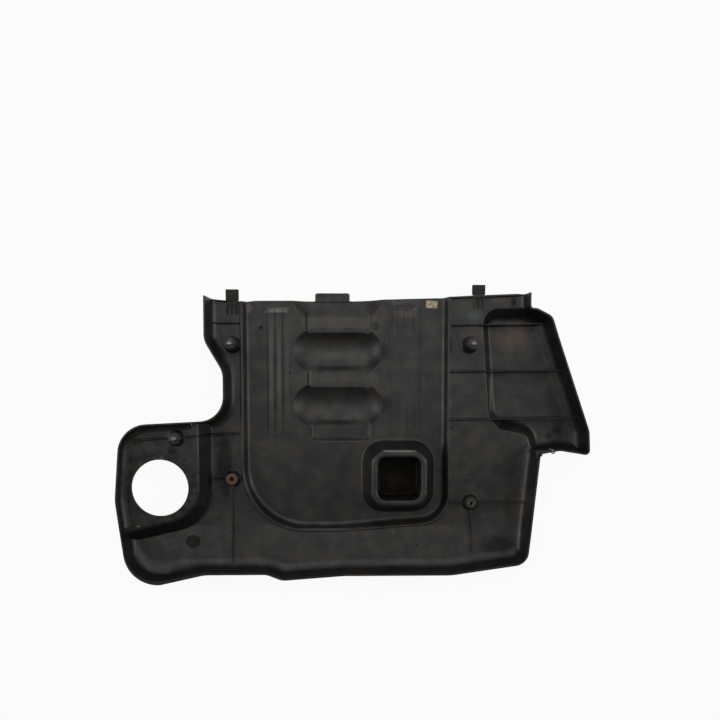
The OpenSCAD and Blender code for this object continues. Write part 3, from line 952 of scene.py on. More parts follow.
@dataclass
class Fittings:
    """Rubber bush, steel sleeve, captive bolt and retaining disc of each boss."""

    bore_r: float = 6.6
    gap: float = 0.1
    bush_len: float = 9.0
    flange_r: float = 8.2
    flange_t: float = 2.0
    sleeve_r: float = 4.6
    sleeve_bore_r: float = 3.2
    sleeve_over: float = 0.6
    disc_r: float = 6.4
    wide_disc_r: float = 8.8
    disc_t: float = 1.2
    disc_gap: float = 0.4
    bolt_r: float = 3.0
    bolt_head_r: float = 5.0
    bolt_head_h: float = 4.0
    bolt_over: float = 6.5
    thread_pitch: float = 1.0

    @property
    def sleeve_len(self) -> float:
        """Length of a sleeve."""
        return self.bush_len + self.flange_t + self.sleeve_over

    def bush(self) -> bpy.types.Object:
        """Rubber bush with a rounded flange, its flange seat at height 0.

        Returns:
            The closed body.
        """
        body_r, bead = self.bore_r - self.gap, 0.6
        return spin_profile("bush", [
            (self.sleeve_r, -self.bush_len), (body_r - bead, -self.bush_len), (body_r, -self.bush_len + bead),
            (body_r, 0.0), (self.flange_r - 0.5, 0.0), (self.flange_r - 0.12, 0.2), (self.flange_r, 0.6),
            (self.flange_r, self.flange_t - 0.8), (self.flange_r - 0.25, self.flange_t - 0.25),
            (self.flange_r - 0.8, self.flange_t), (self.sleeve_r + 1.3, self.flange_t),
            (self.sleeve_r + 1.1, self.flange_t - 0.35), (self.sleeve_r + 0.5, self.flange_t - 0.35),
            (self.sleeve_r + 0.3, self.flange_t), (self.sleeve_r, self.flange_t)], 64)

    def sleeve(self) -> bpy.types.Object:
        """Steel sleeve with chamfered ends, its lower end at height 0.

        Returns:
            The closed body.
        """
        edge, length = 0.35, self.sleeve_len
        return spin_profile("sleeve", [
            (self.sleeve_bore_r + edge, 0.0), (self.sleeve_r - edge, 0.0), (self.sleeve_r, edge),
            (self.sleeve_r, length - edge), (self.sleeve_r - edge, length), (self.sleeve_bore_r + edge, length),
            (self.sleeve_bore_r, length - edge), (self.sleeve_bore_r, edge)], 64)

    def bolt(self) -> bpy.types.Object:
        """Captive bolt with its head below and ridged end, the sleeve's lower end at height 0.

        Returns:
            The closed body.
        """
        top = self.sleeve_len + self.bolt_over
        root = self.bolt_r - 0.45
        profile: list[Point] = [(0, -self.bolt_head_h), (self.bolt_head_r - 0.5, -self.bolt_head_h),
                                (self.bolt_head_r, -self.bolt_head_h + 0.5), (self.bolt_head_r, 0),
                                (self.bolt_r, 0)]
        start = self.sleeve_len + self.disc_t
        profile.append((self.bolt_r, start))
        turns = int((top - start - 1.0) / self.thread_pitch)
        for i in range(turns):
            z = start + i * self.thread_pitch
            profile += [(root, z + 0.4), (root, z + 0.5), (self.bolt_r, z + 0.9), (self.bolt_r, z + 1.0)]
        profile += [(self.bolt_r - 0.1, top - 0.9), (self.bolt_r - 0.8, top - 0.15), (self.bolt_r - 1.1, top),
                    (self.bolt_r - 1.5, top - 0.05), (self.bolt_r - 1.8, top - 0.5), (0, top - 0.7)]
        return spin_profile("bolt", profile, 48)

    def disc(self, radius: float, slits: int) -> bpy.types.Object:
        """Dished retaining disc with slits from its hole, its seat at height 0.

        Args:
            radius: Its outer radius.
            slits: Number of slits between its teeth.

        Returns:
            The disc.
        """
        hole = self.bolt_r + self.disc_gap
        t, sheet = self.disc_t, 0.5
        disc = spin_profile("disc", [
            (hole, t - sheet + 0.05), (hole + 0.9, t - sheet), (hole + 1.6, 0.25), (radius - 0.5, 0.0),
            (radius - 0.1, 0.12), (radius, 0.35), (radius - 0.15, sheet + 0.1), (radius - 0.5, sheet + 0.15),
            (hole + 1.9, sheet + 0.3), (hole + 1.0, t), (hole, t)], 96)
        for i in range(slits):
            deselect()
            turn = math.tau * i / slits
            middle = hole + 0.2
            at = (middle * math.cos(turn), middle * math.sin(turn), 0)
            bpy.ops.mesh.primitive_cube_add(size=1.0, location=at, rotation=(0, 0, turn), scale=(2.4, 0.55, 6.0))
            combine(disc, added("slit"), Combine.CUT)
        return disc

    def place(self, model: bpy.types.Object, name: str, at: Sequence[float], finish: bpy.types.Material,
              slot: Slot) -> None:
        """Puts a copy of a fitting in its boss.

        Args:
            model: The fitting, drawn round its own axis.
            name: Name of the CAD node that it stands for.
            at: Place of its origin on the level cover.
            finish: Its material.
            slot: The record's slot of that finish. It is not used.
        """
        copy = bpy.data.objects.new(f"{name}_detailed", model.data.copy())
        bpy.context.scene.collection.objects.link(copy)
        lay_down(copy, at)
        smooth(copy, 40.0)
        dress(copy, finish, [name])

    def build(self, rubber: bpy.types.Material, steel: bpy.types.Material, dark: bpy.types.Material,
              rust: bpy.types.Material) -> None:
        """Fits all bosses.

        Args:
            rubber: Material of the bushes.
            steel: Material of clean steel.
            dark: Material of the retaining discs.
            rust: Material of the rusty sleeve and disc.
        """
        bush, sleeve, bolt = self.bush(), self.sleeve(), self.bolt()
        disc, wide = self.disc(self.disc_r, 6), self.disc(self.wide_disc_r, 0)
        for b in BOSSES:
            metal, slot = (rust, Slot.RUST) if b.rusty else (steel, Slot.STEEL)
            self.place(bush, f"bush_{b.name}", (b.x, b.y, b.top), rubber, Slot.RUBBER)
            self.place(sleeve, f"sleeve_{b.name}", (b.x, b.y, b.top - self.bush_len), metal, slot)
            seat = b.top + self.flange_t + self.sleeve_over
            if b.bolted:
                self.place(bolt, f"bolt_{b.name}", (b.x, b.y, b.top - self.bush_len), steel, Slot.STEEL)
                self.place(disc, f"disc_{b.name}", (b.x, b.y, seat), dark, Slot.STEEL)
            if b.rusty:
                self.place(wide, f"disc_{b.name}", (b.x, b.y, seat), rust, Slot.RUST)
        for model in (bush, sleeve, bolt, disc, wide):
            bpy.data.objects.remove(model)


@dataclass
class FeltSleeve:
    """Woven felt sleeve round the end of a tongue."""

    side: str
    felt_t: float = 1.6
    root_gap: float = 1.0

    def build(self, material: bpy.types.Material) -> None:
        """Models the sleeve.

        Args:
            material: The felt.
        """
        x, y, length = TONGUES[self.side]
        left, right, top = x - TONGUE_W / 2, x + TONGUE_W / 2, TONGUE_Z + TONGUE_T
        low = Vector((left - self.felt_t, y + self.root_gap, TONGUE_Z - self.felt_t))
        high = Vector((right + self.felt_t, y + length + self.felt_t, top + self.felt_t))
        deselect()
        bpy.ops.mesh.primitive_cube_add(size=1.0, location=(low + high) / 2, scale=high - low)
        sleeve = added(f"tongue_felt_{self.side}_woven")
        bpy.ops.object.mode_set(mode="EDIT")
        bpy.ops.mesh.select_all(action="SELECT")
        bpy.ops.mesh.bevel(offset=1.2, segments=5)
        bpy.ops.mesh.select_all(action="SELECT")
        bpy.ops.mesh.subdivide(number_cuts=3)
        bpy.ops.object.mode_set(mode="OBJECT")
        combine(sleeve, bar((left, y - 1, TONGUE_Z), (right, y + length, top)), Combine.CUT)
        lay_down(sleeve)
        smooth(sleeve, 50.0)
        dress(sleeve, material, [f"tongue_felt_{self.side}"])


@dataclass
class PaperLabel:
    """Small blank paper label stuck on the panel near the upper edge."""

    x: float = 119.0
    y: float = 201.0
    width: float = 18.0
    height: float = 12.0
    thick: float = 0.15
    lift: float = 0.5
    curl_r: float = 7.0

    def build(self, material: bpy.types.Material) -> None:
        """Models the label.

        Args:
            material: The paper.
        """
        deselect()
        bpy.ops.mesh.primitive_grid_add(x_subdivisions=36, y_subdivisions=24, size=1.0,
                                        location=(self.x, self.y, PANEL_Z + 0.05),
                                        rotation=(0, 0, math.radians(-3)))
        bpy.context.object.scale = (self.width - 0.8, self.height - 1.0, 1.0)
        label = added("paper_label_sheet")
        corner = Vector((self.x + self.width / 2, self.y - self.height / 2))
        for v in label.data.vertices:
            near = max(0.0, 1.0 - (Vector(v.co[:2]) - corner).length / self.curl_r)
            ripple = 0.06 * math.sin(v.co.x * 1.3) * math.sin(v.co.y * 1.1 + 1.0)
            v.co.z += self.lift * near**2 + ripple + 0.06
            if v.co.y < self.y - self.height / 2 + 0.8:
                v.co.y += 0.45 * math.sin(v.co.x * 2.1) + 0.3 * math.sin(v.co.x * 5.3)
        thicken = label.modifiers.new("thicken", "SOLIDIFY")
        thicken.thickness = self.thick
        thicken.offset = 1.0
        activate(label)
        bpy.ops.object.modifier_apply(modifier=thicken.name)
        lay_down(label)
        smooth(label, 40.0, weighted=False)
        dress(label, material, ["paper_label"])


def linear(code: str) -> tuple[float, float, float, float]:
    """Linear colour of an sRGB hex code.

    Args:
        code: Six hex digits.

    Returns:
        Red, green, blue and alpha.
    """
    values = [int(code[i : i + 2], 16) / 255 for i in (0, 2, 4)]
    low = 0.04045
    return (*(v / 12.92 if v <= low else ((v + 0.055) / 1.055) ** 2.4 for v in values), 1.0)


SMOOTH = {"interpolation_type": "SMOOTHSTEP"}
COLOURS = {"data_type": "RGBA"}


def add(tree: bpy.types.NodeTree, kind: str, links: dict | None = None, **settings: object) -> bpy.types.Node:
    """Adds a node with its settings and links.

    Args:
        tree: The node tree.
        kind: Type of the node, without the shader prefix.
        links: What each input takes, by name or number: a value, a socket, or a node's first output.
        **settings: Values of the node's own properties.

    Returns:
        The node.
    """
    node = tree.nodes.new(f"ShaderNode{kind}")
    for key, value in settings.items():
        setattr(node, key, value)
    for key, value in (links or {}).items():
        if isinstance(value, bpy.types.Node):
            value = value.outputs[0]
        if isinstance(value, bpy.types.NodeSocket):
            tree.links.new(value, node.inputs[key])
        else:
            node.inputs[key].default_value = value
    return node


def new_material(name: str) -> tuple[bpy.types.Material, bpy.types.NodeTree, bpy.types.NodeSocket]:
    """Starts a material.

    Args:
        name: Its name.

    Returns:
        The material, its empty tree and the object coordinates.
    """
    material = bpy.data.materials.new(name)
    material.use_nodes = True
    tree = material.node_tree
    tree.nodes.clear()
    return material, tree, add(tree, "TexCoord").outputs["Object"]


def per(size_mm: float) -> float:
    """Scale at which a feature of a noise is so many millimetres large."""
    return 1 / (size_mm * MM)


@dataclass(frozen=True)
class Mark:
    """A stain, spot or smudge on the plastic, seen from above; some marks are painted shade, others painted
    highlights. Places and sizes are in frame millimetres.

    Rough is added to the roughness, ragged and soft shape its edge, hollow is the share of it that is left
    clear in the middle, and matt is the share of the sheen that it takes.
    """

    x: float
    y: float
    half_x: float
    half_y: float
    colour: str
    strength: float
    rough: float = 0.0
    ragged: float = 0.35
    soft: float = 0.3
    hollow: float = 0.0
    square: bool = False
    matt: float = 0.0


def alike(places: Iterable[tuple[float, float, float, float]], *look: object, **more: object) -> list[Mark]:
    """Marks of one look.

    Args:
        places: Middle and half size of each.
        *look: Their colour, strength, rough, ragged and soft values.
        **more: Their other values.

    Returns:
        The marks.
    """
    return [Mark(*place, *look, **more) for place in places]


MARKS = (
    # Oil, spots and small stains
    Mark(-245.6, -164, 12, 10.5, "070603", 0.95, -0.12, 0.22, 0.12, matt=0.6),
    Mark(-279.5, -168.5, 9, 8.5, "3a3a38", 0.35, 0.0, 0.2, 0.1, 0.82),
    Mark(-81.8, -175.4, 5, 2.4, "3f2822", 0.5, 0.0, 0.7, 0.6),
    Mark(-141.5, 162, 3.6, 2.4, "060606", 0.9, matt=0.7),
    Mark(-98.3, 94.2, 2.0, 2.0, "060604", 0.9, matt=0.7),
    Mark(240.3, 198.8, 4.5, 6.5, "080805", 0.9, -0.1, matt=0.6),
    Mark(312.9, 6.4, 9, 6, "0a0a05", 0.85, -0.1, 0.5, matt=0.5),
    Mark(300, -4, 6, 5, "0a0a05", 0.8, -0.1, 0.5, matt=0.5),
    Mark(147.7, 9.4, 2.0, 2.0, "060606", 0.9, matt=0.7),
    Mark(-146, -19, 2.2, 1.6, "060606", 0.85, matt=0.7),
    Mark(96.1, -170, 2.4, 1.8, "0a0907", 0.8, matt=0.6),
    *alike([(196, -173, 4.5, 2.4), (248, -126, 4.5, 3.0)], "432a26", 0.4, 0.0, 0.6, 0.8),
    Mark(59.6, -150, 5, 8, "3c3c39", 0.45, 0.0, 0.4, 0.6),
    Mark(-322, -138, 3.0, 1.4, "8a8a85", 0.45, 0.0, 0.8),
    Mark(-89, 193, 4.0, 1.8, "6a6a66", 0.35, 0.0, 0.8, 0.6),
    Mark(93, 190, 5.0, 2.4, "6a6a66", 0.4, 0.0, 0.8, 0.6),
    Mark(33.4, 165, 5.4, 6.0, "070707", 0.95, 0.0, 0.3, 0.1, matt=0.65),
    # Brown and grey haze
    Mark(-141.4, -16.6, 13, 10, "3a2d26", 0.55, 0.05, 0.5, 0.8),
    Mark(246, 148, 42, 30, "5a4a3c", 0.7, 0.08, 0.35, 0.9),
    # Bluish painted sheen on the right flank near the upper edge
    Mark(181, 179, 18, 10, "3c3f47", 0.6, 0.05, 0.5, 0.7),
    # Pinkish painted highlight at the foot of the panel's left wall, near the upper edge
    Mark(-159, 192, 6, 12, "6b5a55", 0.5, 0.05, 0.5, 0.7),
    Mark(74, 200, 26, 5, "3a2f38", 0.8, 0.05, 0.5, 0.6, square=True),
    Mark(48, 182, 12, 12, "3e302b", 0.6, 0.05, 0.5, 0.8),
    Mark(79, 183, 22, 9, "55524e", 0.4, 0.08, 0.6, 0.7),
    Mark(176.6, -161, 16, 10, "3a2f2d", 0.5, 0.05, 0.5, 0.8),
    Mark(262, -90, 14, 20, "352b28", 0.45, 0.05, 0.5, 0.8),
    Mark(166, -48, 11, 13, "3d3d3c", 0.5, 0.0, 0.15, 0.06, 0.9),
    Mark(238, -60, 16, 70, "0f0e0c", 0.4, -0.04, 0.6, 0.9, matt=0.2),
    Mark(252, -105, 22, 26, "3a3029", 0.5, 0.0, 0.6, 0.8),
    # Painted shade on the flank between the pan and the panel
    Mark(-197, -46, 16, 62, "070706", 0.85, 0.0, 0.4, 0.5, matt=0.55),
    # Darker pan floor above the hole
    Mark(-300, -10, 34, 16, "0d0c0b", 0.4, 0.0, 0.6, 0.9, matt=0.25),
    Mark(-150, 140, 7, 18, "3a2e28", 0.4, 0.05, 0.5, 0.8),
    Mark(192, 150, 6, 16, "3b2c24", 0.6, 0.05, 0.5, 0.8),
    Mark(174, -72, 9, 7, "0a0a09", 0.6, 0.0, 0.5, 0.7, matt=0.3),
    # Dust on the ledges, painted shade in the gaps along the edges of the block
    Mark(-24, 170, 66, 9.5, "42413e", 0.6, 0.03, 0.3, 0.3, square=True),
    Mark(-24, 86.5, 68, 9.0, "3a3936", 0.5, 0.03, 0.3, 0.3, square=True),
    *alike([(-72.1, 172, 1.9, 17), (-69.8, 86, 2.1, 10.5), (-66.0, 3.5, 2.1, 9)],
           "050505", 0.85, 0.0, 0.15, 0.4, square=True, matt=0.6),
    Mark(-20.0, -7.0, 44, 1.7, "050505", 0.8, 0.0, 0.15, 0.4, square=True, matt=0.5),
    Mark(26.5, 172, 1.6, 17, "050505", 0.6, 0.0, 0.15, 0.4, square=True, matt=0.4),
    # Dirt along the upper edge, on the pan and at the eyelet
    *alike([(54, 196.5, 6, 1.6), (70, 195.6, 10, 1.3), (84, 198, 6, 2.0), (92, 195, 5, 1.7)],
           "0a0a09", 0.7, 0.0, 0.95, 0.7, matt=0.5),
    *alike([(-322, -14, 9, 5), (-272, -24, 12, 6)], "0a080b", 0.7, 0.0, 0.9, 0.5, matt=0.4),
    Mark(-243, -16, 7, 8, "0a080b", 0.6, 0.0, 0.9, 0.5, matt=0.4),
    Mark(-286, -36, 5, 3, "4f4c49", 0.6, 0.0, 0.9, 0.5),
    Mark(295.3, -23.7, 2.6, 2.4, "8a8a86", 0.8, 0.0, 0.2, 0.3),
    # Painted shade at the lower edges of the lower two humps and on the upper side of the middle one
    Mark(-24, 101.5, 56, 6.0, "050505", 0.75, 0.0, 0.2, 0.8, square=True, matt=0.7),
    Mark(-24, 18.5, 58, 6.0, "050505", 0.75, 0.0, 0.2, 0.8, square=True, matt=0.75),
    Mark(-24, 152, 56, 7.0, "050505", 0.6, 0.0, 0.2, 0.8, square=True, matt=0.35),
    # Painted highlights on the ramps beside the louvres
    *alike([(-126.2, 96.5, 4.4, 97), (-114.0, 96.5, 4.2, 97)], "4a4a48", 0.75, 0.0, 0.1, 0.9, square=True),
    Mark(-102.0, 96.5, 4.4, 97, "3c3c3a", 0.6, 0.0, 0.1, 0.9, square=True),
    # Pale band under the lip over the louvres
    Mark(-117, 189, 21, 4.5, "7a7a76", 0.6, 0.0, 0.6, 0.7, square=True),
    # Darker pan floor round the hole, painted shade in the deep well, brown in the well and near the upper edge
    Mark(-290, -75, 62, 62, "0b0a0a", 0.75, 0.0, 0.5, 0.3, 0.75, matt=0.4),
    Mark(67.6, -65.2, 31.2, 32.0, "0b0805", 0.95, 0.1, 0.1, 0.12, square=True, matt=0.85),
    Mark(62, -70, 24, 14, "2e1f12", 0.6, 0.0, 0.8, 0.8),
    Mark(218, 200, 22, 7, "45332f", 0.6, 0.05, 0.5, 0.7),
    # Painted shade on the right wall of the raised pan
    Mark(-223.5, -36, 8.5, 66, "040404", 0.9, 0.0, 0.15, 0.25, square=True, matt=0.65),
    # Painted shade on the lower right flank and the foot of its skirt
    Mark(222, -170, 40, 20, "080807", 0.75, 0.0, 0.4, 0.7, matt=0.6),
    # Painted highlight on the lower part of the wing's left wall
    Mark(209.3, 64, 3.8, 36, "625f58", 0.8, 0.0, 0.15, 0.8, square=True),
    # Painted shade at both ends of the lower two humps
    *alike([(-88, 128, 12, 20), (-88, 44, 12, 20)], "0a0a0a", 0.5, 0.0, 0.3, 0.8, matt=0.35),
    *alike([(46, 128, 15, 22), (46, 46, 15, 22)], "080808", 0.7, 0.0, 0.3, 0.8, matt=0.5),
    # Painted highlight on the lower, lit side of the middle hump
    Mark(-24, 122, 60, 9, "3c3b38", 0.5, 0.0, 0.3, 0.8, square=True),
    # Pale line along the upper inner edge of the collar
    Mark(67.6, -25.0, 28, 1.8, "7a7a78", 0.8, 0.0, 0.1, 0.4, square=True),
)


@dataclass(frozen=True)
class MouldedPlastic:
    """Black glass-filled nylon, injection moulded: a satin sheen with fine grain, under dust and old oil, with
    painted shade and painted highlights among its marks.

    The grain is drawn coarser than it is so that it shows.
    """

    name: str = "moulded_black_nylon"
    colour: str = "131315"
    dust: str = "21201e"
    haze: str = "2a231b"
    grit: str = "4a4844"
    roughness: float = 0.43
    grain_mm: float = 1.1
    marks: tuple[Mark, ...] = MARKS

    def mask(self, tree: bpy.types.NodeTree, place: bpy.types.NodeSocket, warp: bpy.types.Node,
             mark: Mark) -> bpy.types.Node:
        """Mask of one mark.

        Args:
            tree: The node tree.
            place: Object coordinates.
            warp: Noise that makes its edge ragged.
            mark: The mark.

        Returns:
            The node that is 0 outside the mark and its strength inside.
        """
        scale = (1 / (mark.half_x * MM), 1 / (mark.half_y * MM), 0.0)
        shift = (-mark.x / mark.half_x, -mark.y / mark.half_y, 0.0)
        mapped = add(tree, "Mapping", {"Vector": place, "Scale": scale, "Location": shift})
        if mark.square:
            sides = add(tree, "SeparateXYZ", {0: mapped}).outputs
            x, y = (add(tree, "Math", {0: side}, operation="ABSOLUTE") for side in sides[:2])
            away = add(tree, "Math", {0: x, 1: y}, operation="MAXIMUM")
        else:
            away = add(tree, "VectorMath", {0: mapped}, operation="LENGTH").outputs["Value"]
        ragged = add(tree, "Math", {0: warp, 1: mark.ragged * 2, 2: -mark.ragged}, operation="MULTIPLY_ADD")
        away = add(tree, "Math", {0: away, 1: ragged}, operation="ADD")
        mask = add(tree, "MapRange", {0: away, 1: 1.0, 2: 1.0 - mark.soft}, **SMOOTH)
        if mark.hollow:
            open_middle = add(tree, "MapRange", {0: away, 1: mark.hollow - mark.soft, 2: mark.hollow}, **SMOOTH)
            mask = add(tree, "Math", {0: mask, 1: open_middle}, operation="MULTIPLY")
        return add(tree, "Math", {0: mask, 1: mark.strength}, operation="MULTIPLY")

    def build(self) -> bpy.types.Material:
        """Makes the material.

        Returns:
            The material.
        """
        material, tree, place = new_material(self.name)
        clouds, patches, grain, speck, warp = (
            add(tree, "TexNoise", {"Vector": place, "Scale": per(size), "Detail": detail})
            for size, detail in ((60, 4), (22, 5), (self.grain_mm, 2), (2.6, 4), (9, 4)))
        up = add(tree, "SeparateXYZ", {0: add(tree, "TexCoord").outputs["Normal"]}).outputs[2]
        settled = add(tree, "MapRange", {0: up, 1: 0.55, 2: 0.98}, **SMOOTH)
        cloudy = add(tree, "MapRange", {0: clouds, 1: 0.3, 2: 0.7, 3: 0.25, 4: 0.9}, **SMOOTH)
        patchy = add(tree, "MapRange", {0: patches, 1: 0.3, 2: 0.7, 3: 0.55, 4: 1.0}, **SMOOTH)
        share = add(tree, "Math", {0: cloudy, 1: settled}, operation="MULTIPLY")
        share = add(tree, "Math", {0: share, 1: patchy}, operation="MULTIPLY")
        colour = add(tree, "Mix", {0: share, 6: linear(self.colour), 7: linear(self.dust)}, **COLOURS).outputs[2]
        brown = add(tree, "MapRange", {0: patches, 1: 0.45, 2: 0.75, 3: 0.0, 4: 0.4}, **SMOOTH)
        colour = add(tree, "Mix", {0: brown, 6: colour, 7: linear(self.haze)}, **COLOURS).outputs[2]
        specks = add(tree, "MapRange", {0: speck, 1: 0.62, 2: 0.75, 3: 0.0, 4: 0.3}, **SMOOTH)
        colour = add(tree, "Mix", {0: specks, 6: colour, 7: linear(self.grit)}, **COLOURS).outputs[2]
        least, most = self.roughness - 0.04, self.roughness + 0.05
        rough = add(tree, "MapRange", {0: clouds, 1: 0.25, 2: 0.75, 3: least, 4: most}, **SMOOTH)
        sheen = add(tree, "MapRange", {0: patches, 1: 0.3, 2: 0.7, 3: 0.42, 4: 0.58}, **SMOOTH)
        for mark in self.marks:
            mask = self.mask(tree, place, warp, mark)
            colour = add(tree, "Mix", {0: mask, 6: colour, 7: linear(mark.colour)}, **COLOURS).outputs[2]
            if mark.rough:
                more = add(tree, "Math", {0: mask, 1: mark.rough}, operation="MULTIPLY")
                rough = add(tree, "Math", {0: rough, 1: more}, operation="ADD")
            if mark.matt:
                taken = add(tree, "Math", {0: mask, 1: mark.matt}, operation="MULTIPLY")
                kept = add(tree, "Math", {0: 1.0, 1: taken}, operation="SUBTRACT")
                sheen = add(tree, "Math", {0: sheen, 1: kept}, operation="MULTIPLY")
        normal = add(tree, "Bevel", {"Radius": 0.7 * MM}, samples=4)
        for strength, depth, height in ((0.12, 0.6, patches), (0.22, 0.08, grain)):
            normal = add(tree, "Bump", {"Strength": strength, "Distance": depth * MM, "Height": height,
                                        "Normal": normal})
        surface = add(tree, "BsdfPrincipled", {"Base Color": colour, "Roughness": rough, "IOR": 1.5,
                                               "Specular IOR Level": sheen, "Normal": normal})
        add(tree, "OutputMaterial", {"Surface": surface})
        return material


@dataclass(frozen=True)
class Rubber:
    """Black natural rubber, pressed: matt, with a faint bloom, its pores drawn coarser than they are."""

    name: str = "pressed_rubber"
    colour: str = "1a1a1a"
    bloom: str = "33322f"

    def build(self) -> bpy.types.Material:
        """Makes the material.

        Returns:
            The material.
        """
        material, tree, place = new_material(self.name)
        smears = add(tree, "TexNoise", {"Vector": place, "Scale": per(2.0), "Detail": 4})
        bloom = add(tree, "MapRange", {0: smears, 1: 0.4, 2: 0.75}, **SMOOTH)
        colour = add(tree, "Mix", {0: bloom, 6: linear(self.colour), 7: linear(self.bloom)}, **COLOURS).outputs[2]
        pores = add(tree, "TexNoise", {"Vector": place, "Scale": per(0.8), "Detail": 3})
        bump = add(tree, "Bump", {"Strength": 0.3, "Distance": 0.1 * MM, "Height": pores})
        surface = add(tree, "BsdfPrincipled", {"Base Color": colour, "Roughness": 0.62, "Normal": bump})
        add(tree, "OutputMaterial", {"Surface": surface})
        return material


@dataclass(frozen=True)
class Steel:
    """Zinc-plated steel, turned or pressed: greyed and dull, rust where the plating has gone."""

    name: str = "zinc_plated_steel"
    bright: str = "a5a29b"
    dull: str = "65625d"
    rust: str = "5b3a26"
    crust: str = "66503f"
    rust_share: float = 0.12
    roughness: float = 0.34

    def build(self) -> bpy.types.Material:
        """Makes the material.

        Returns:
            The material.
        """
        material, tree, place = new_material(self.name)
        wear = add(tree, "TexNoise", {"Vector": place, "Scale": per(1.6), "Detail": 5})
        stretched = add(tree, "Mapping", {"Vector": place, "Scale": (1.0, 1.3, 0.8)})
        spots = add(tree, "TexNoise", {"Vector": stretched, "Scale": per(3.1), "Detail": 5})
        worn = add(tree, "MapRange", {0: wear, 1: 0.35, 2: 0.65}, **SMOOTH)
        metal = add(tree, "Mix", {0: worn, 6: linear(self.dull), 7: linear(self.bright)}, **COLOURS).outputs[2]
        level = 0.3 + 0.45 * (1.0 - self.rust_share)
        rusty = add(tree, "MapRange", {0: spots, 1: level - 0.06, 2: level + 0.06}, **SMOOTH)
        scale = add(tree, "MapRange", {0: wear, 1: 0.4, 2: 0.6}, **SMOOTH)
        brown = add(tree, "Mix", {0: scale, 6: linear(self.rust), 7: linear(self.crust)}, **COLOURS).outputs[2]
        colour = add(tree, "Mix", {0: rusty, 6: metal, 7: brown}, **COLOURS).outputs[2]
        metallic = add(tree, "Math", {0: 1.0, 1: rusty}, operation="SUBTRACT")
        most = self.roughness + 0.14
        rough = add(tree, "MapRange", {0: wear, 1: 0.3, 2: 0.7, 3: self.roughness, 4: most}, **SMOOTH)
        more = add(tree, "Math", {0: rusty, 1: 0.35}, operation="MULTIPLY")
        rough = add(tree, "Math", {0: rough, 1: more}, operation="ADD")
        bump = add(tree, "Bump", {"Strength": 0.4, "Distance": 0.08 * MM, "Height": spots})
        surface = add(tree, "BsdfPrincipled", {"Base Color": colour, "Metallic": metallic, "Roughness": rough,
                                               "Normal": bump})
        add(tree, "OutputMaterial", {"Surface": surface})
        return material


@dataclass(frozen=True)
class Felt:
    """Woven fabric tape, black with grey threads, drawn coarser than it is so that it shows."""

    name: str = "woven_fabric_tape"
    dark: str = "070707"
    light: str = "33322f"
    thread_mm: float = 3.4

    def build(self) -> bpy.types.Material:
        """Makes the material.

        Returns:
            The material.
        """
        material, tree, place = new_material(self.name)
        turns = math.tau / (self.thread_mm * MM)
        waves = []
        for side in add(tree, "SeparateXYZ", {0: place}).outputs[:2]:
            angle = add(tree, "Math", {0: side, 1: turns}, operation="MULTIPLY")
            waves.append(add(tree, "Math", {0: angle}, operation="SINE"))
        crossed = add(tree, "Math", dict(enumerate(waves)), operation="MULTIPLY")
        weave = add(tree, "MapRange", {0: crossed, 1: -0.8, 2: 0.8}, **SMOOTH)
        fuzz = add(tree, "TexNoise", {"Vector": place, "Scale": per(0.7), "Detail": 3})
        lit = add(tree, "Math", {0: weave, 1: fuzz}, operation="MULTIPLY")
        share = add(tree, "MapRange", {0: lit, 1: 0.12, 2: 0.55}, **SMOOTH)
        colour = add(tree, "Mix", {0: share, 6: linear(self.dark), 7: linear(self.light)}, **COLOURS).outputs[2]
        height = add(tree, "Math", {0: weave, 1: fuzz}, operation="ADD")
        bump = add(tree, "Bump", {"Strength": 0.8, "Distance": 0.3 * MM, "Height": height})
        surface = add(tree, "BsdfPrincipled", {"Base Color": colour, "Roughness": 0.9, "Sheen Weight": 0.12,
                                               "Normal": bump})
        add(tree, "OutputMaterial", {"Surface": surface})
        return material


@dataclass(frozen=True)
class Paper:
    """Uncoated label paper, yellowed and dirty: matt, its fibres drawn coarser than they are."""

    name: str = "aged_label_paper"
    colour: str = "b9ab8d"
    dirt: str = "6f6350"

    def build(self) -> bpy.types.Material:
        """Makes the material.

        Returns:
            The material.
        """
        material, tree, place = new_material(self.name)
        blots = add(tree, "TexNoise", {"Vector": place, "Scale": per(3.5), "Detail": 5})
        stain = add(tree, "MapRange", {0: blots, 1: 0.42, 2: 0.72}, **SMOOTH)
        colour = add(tree, "Mix", {0: stain, 6: linear(self.colour), 7: linear(self.dirt)}, **COLOURS).outputs[2]
        fibres = add(tree, "TexNoise", {"Vector": place, "Scale": per(0.6), "Detail": 3})
        bump = add(tree, "Bump", {"Strength": 0.3, "Distance": 0.1 * MM, "Height": fibres})
        surface = add(tree, "BsdfPrincipled", {"Base Color": colour, "Roughness": 0.85, "Normal": bump})
        add(tree, "OutputMaterial", {"Surface": surface})
        return material


@dataclass(frozen=True)
class Lamp:
    """A soft box and the point that it faces."""

    name: str
    place: tuple[float, float, float]
    size: Point
    watts: float
    aim: tuple[float, float, float] = (0.0, 0.0, 0.0)

    def build(self) -> None:
        """Makes the lamp."""
        data = bpy.data.lights.new(self.name, "AREA")
        data.shape = "RECTANGLE"
        data.size, data.size_y = self.size
        data.energy = self.watts
        lamp = bpy.data.objects.new(self.name, data)
        lamp.location = self.place
        lamp.rotation_euler = (Vector(self.aim) - Vector(self.place)).to_track_quat("-Z", "Y").to_euler()
        bpy.context.scene.collection.objects.link(lamp)


LAMPS = (
    Lamp("overhead_box", (0.0, 0.15, 1.7), (1.7, 0.9), 5.0, (0.0, 0.15, 0.0)),
    Lamp("overhead_far_box", (0.0, 1.15, 1.7), (1.7, 1.1), 8.1, (0.0, 1.15, 0.0)),
    Lamp("upper_box", (0.0, 2.1, 1.16), (1.6, 0.9), 5.0),
    Lamp("left_box", (-1.6, 0.1, 0.86), (0.8, 1.4), 13.5),
    Lamp("right_box", (1.6, 0.1, 0.86), (0.8, 1.4), 12.5),
)


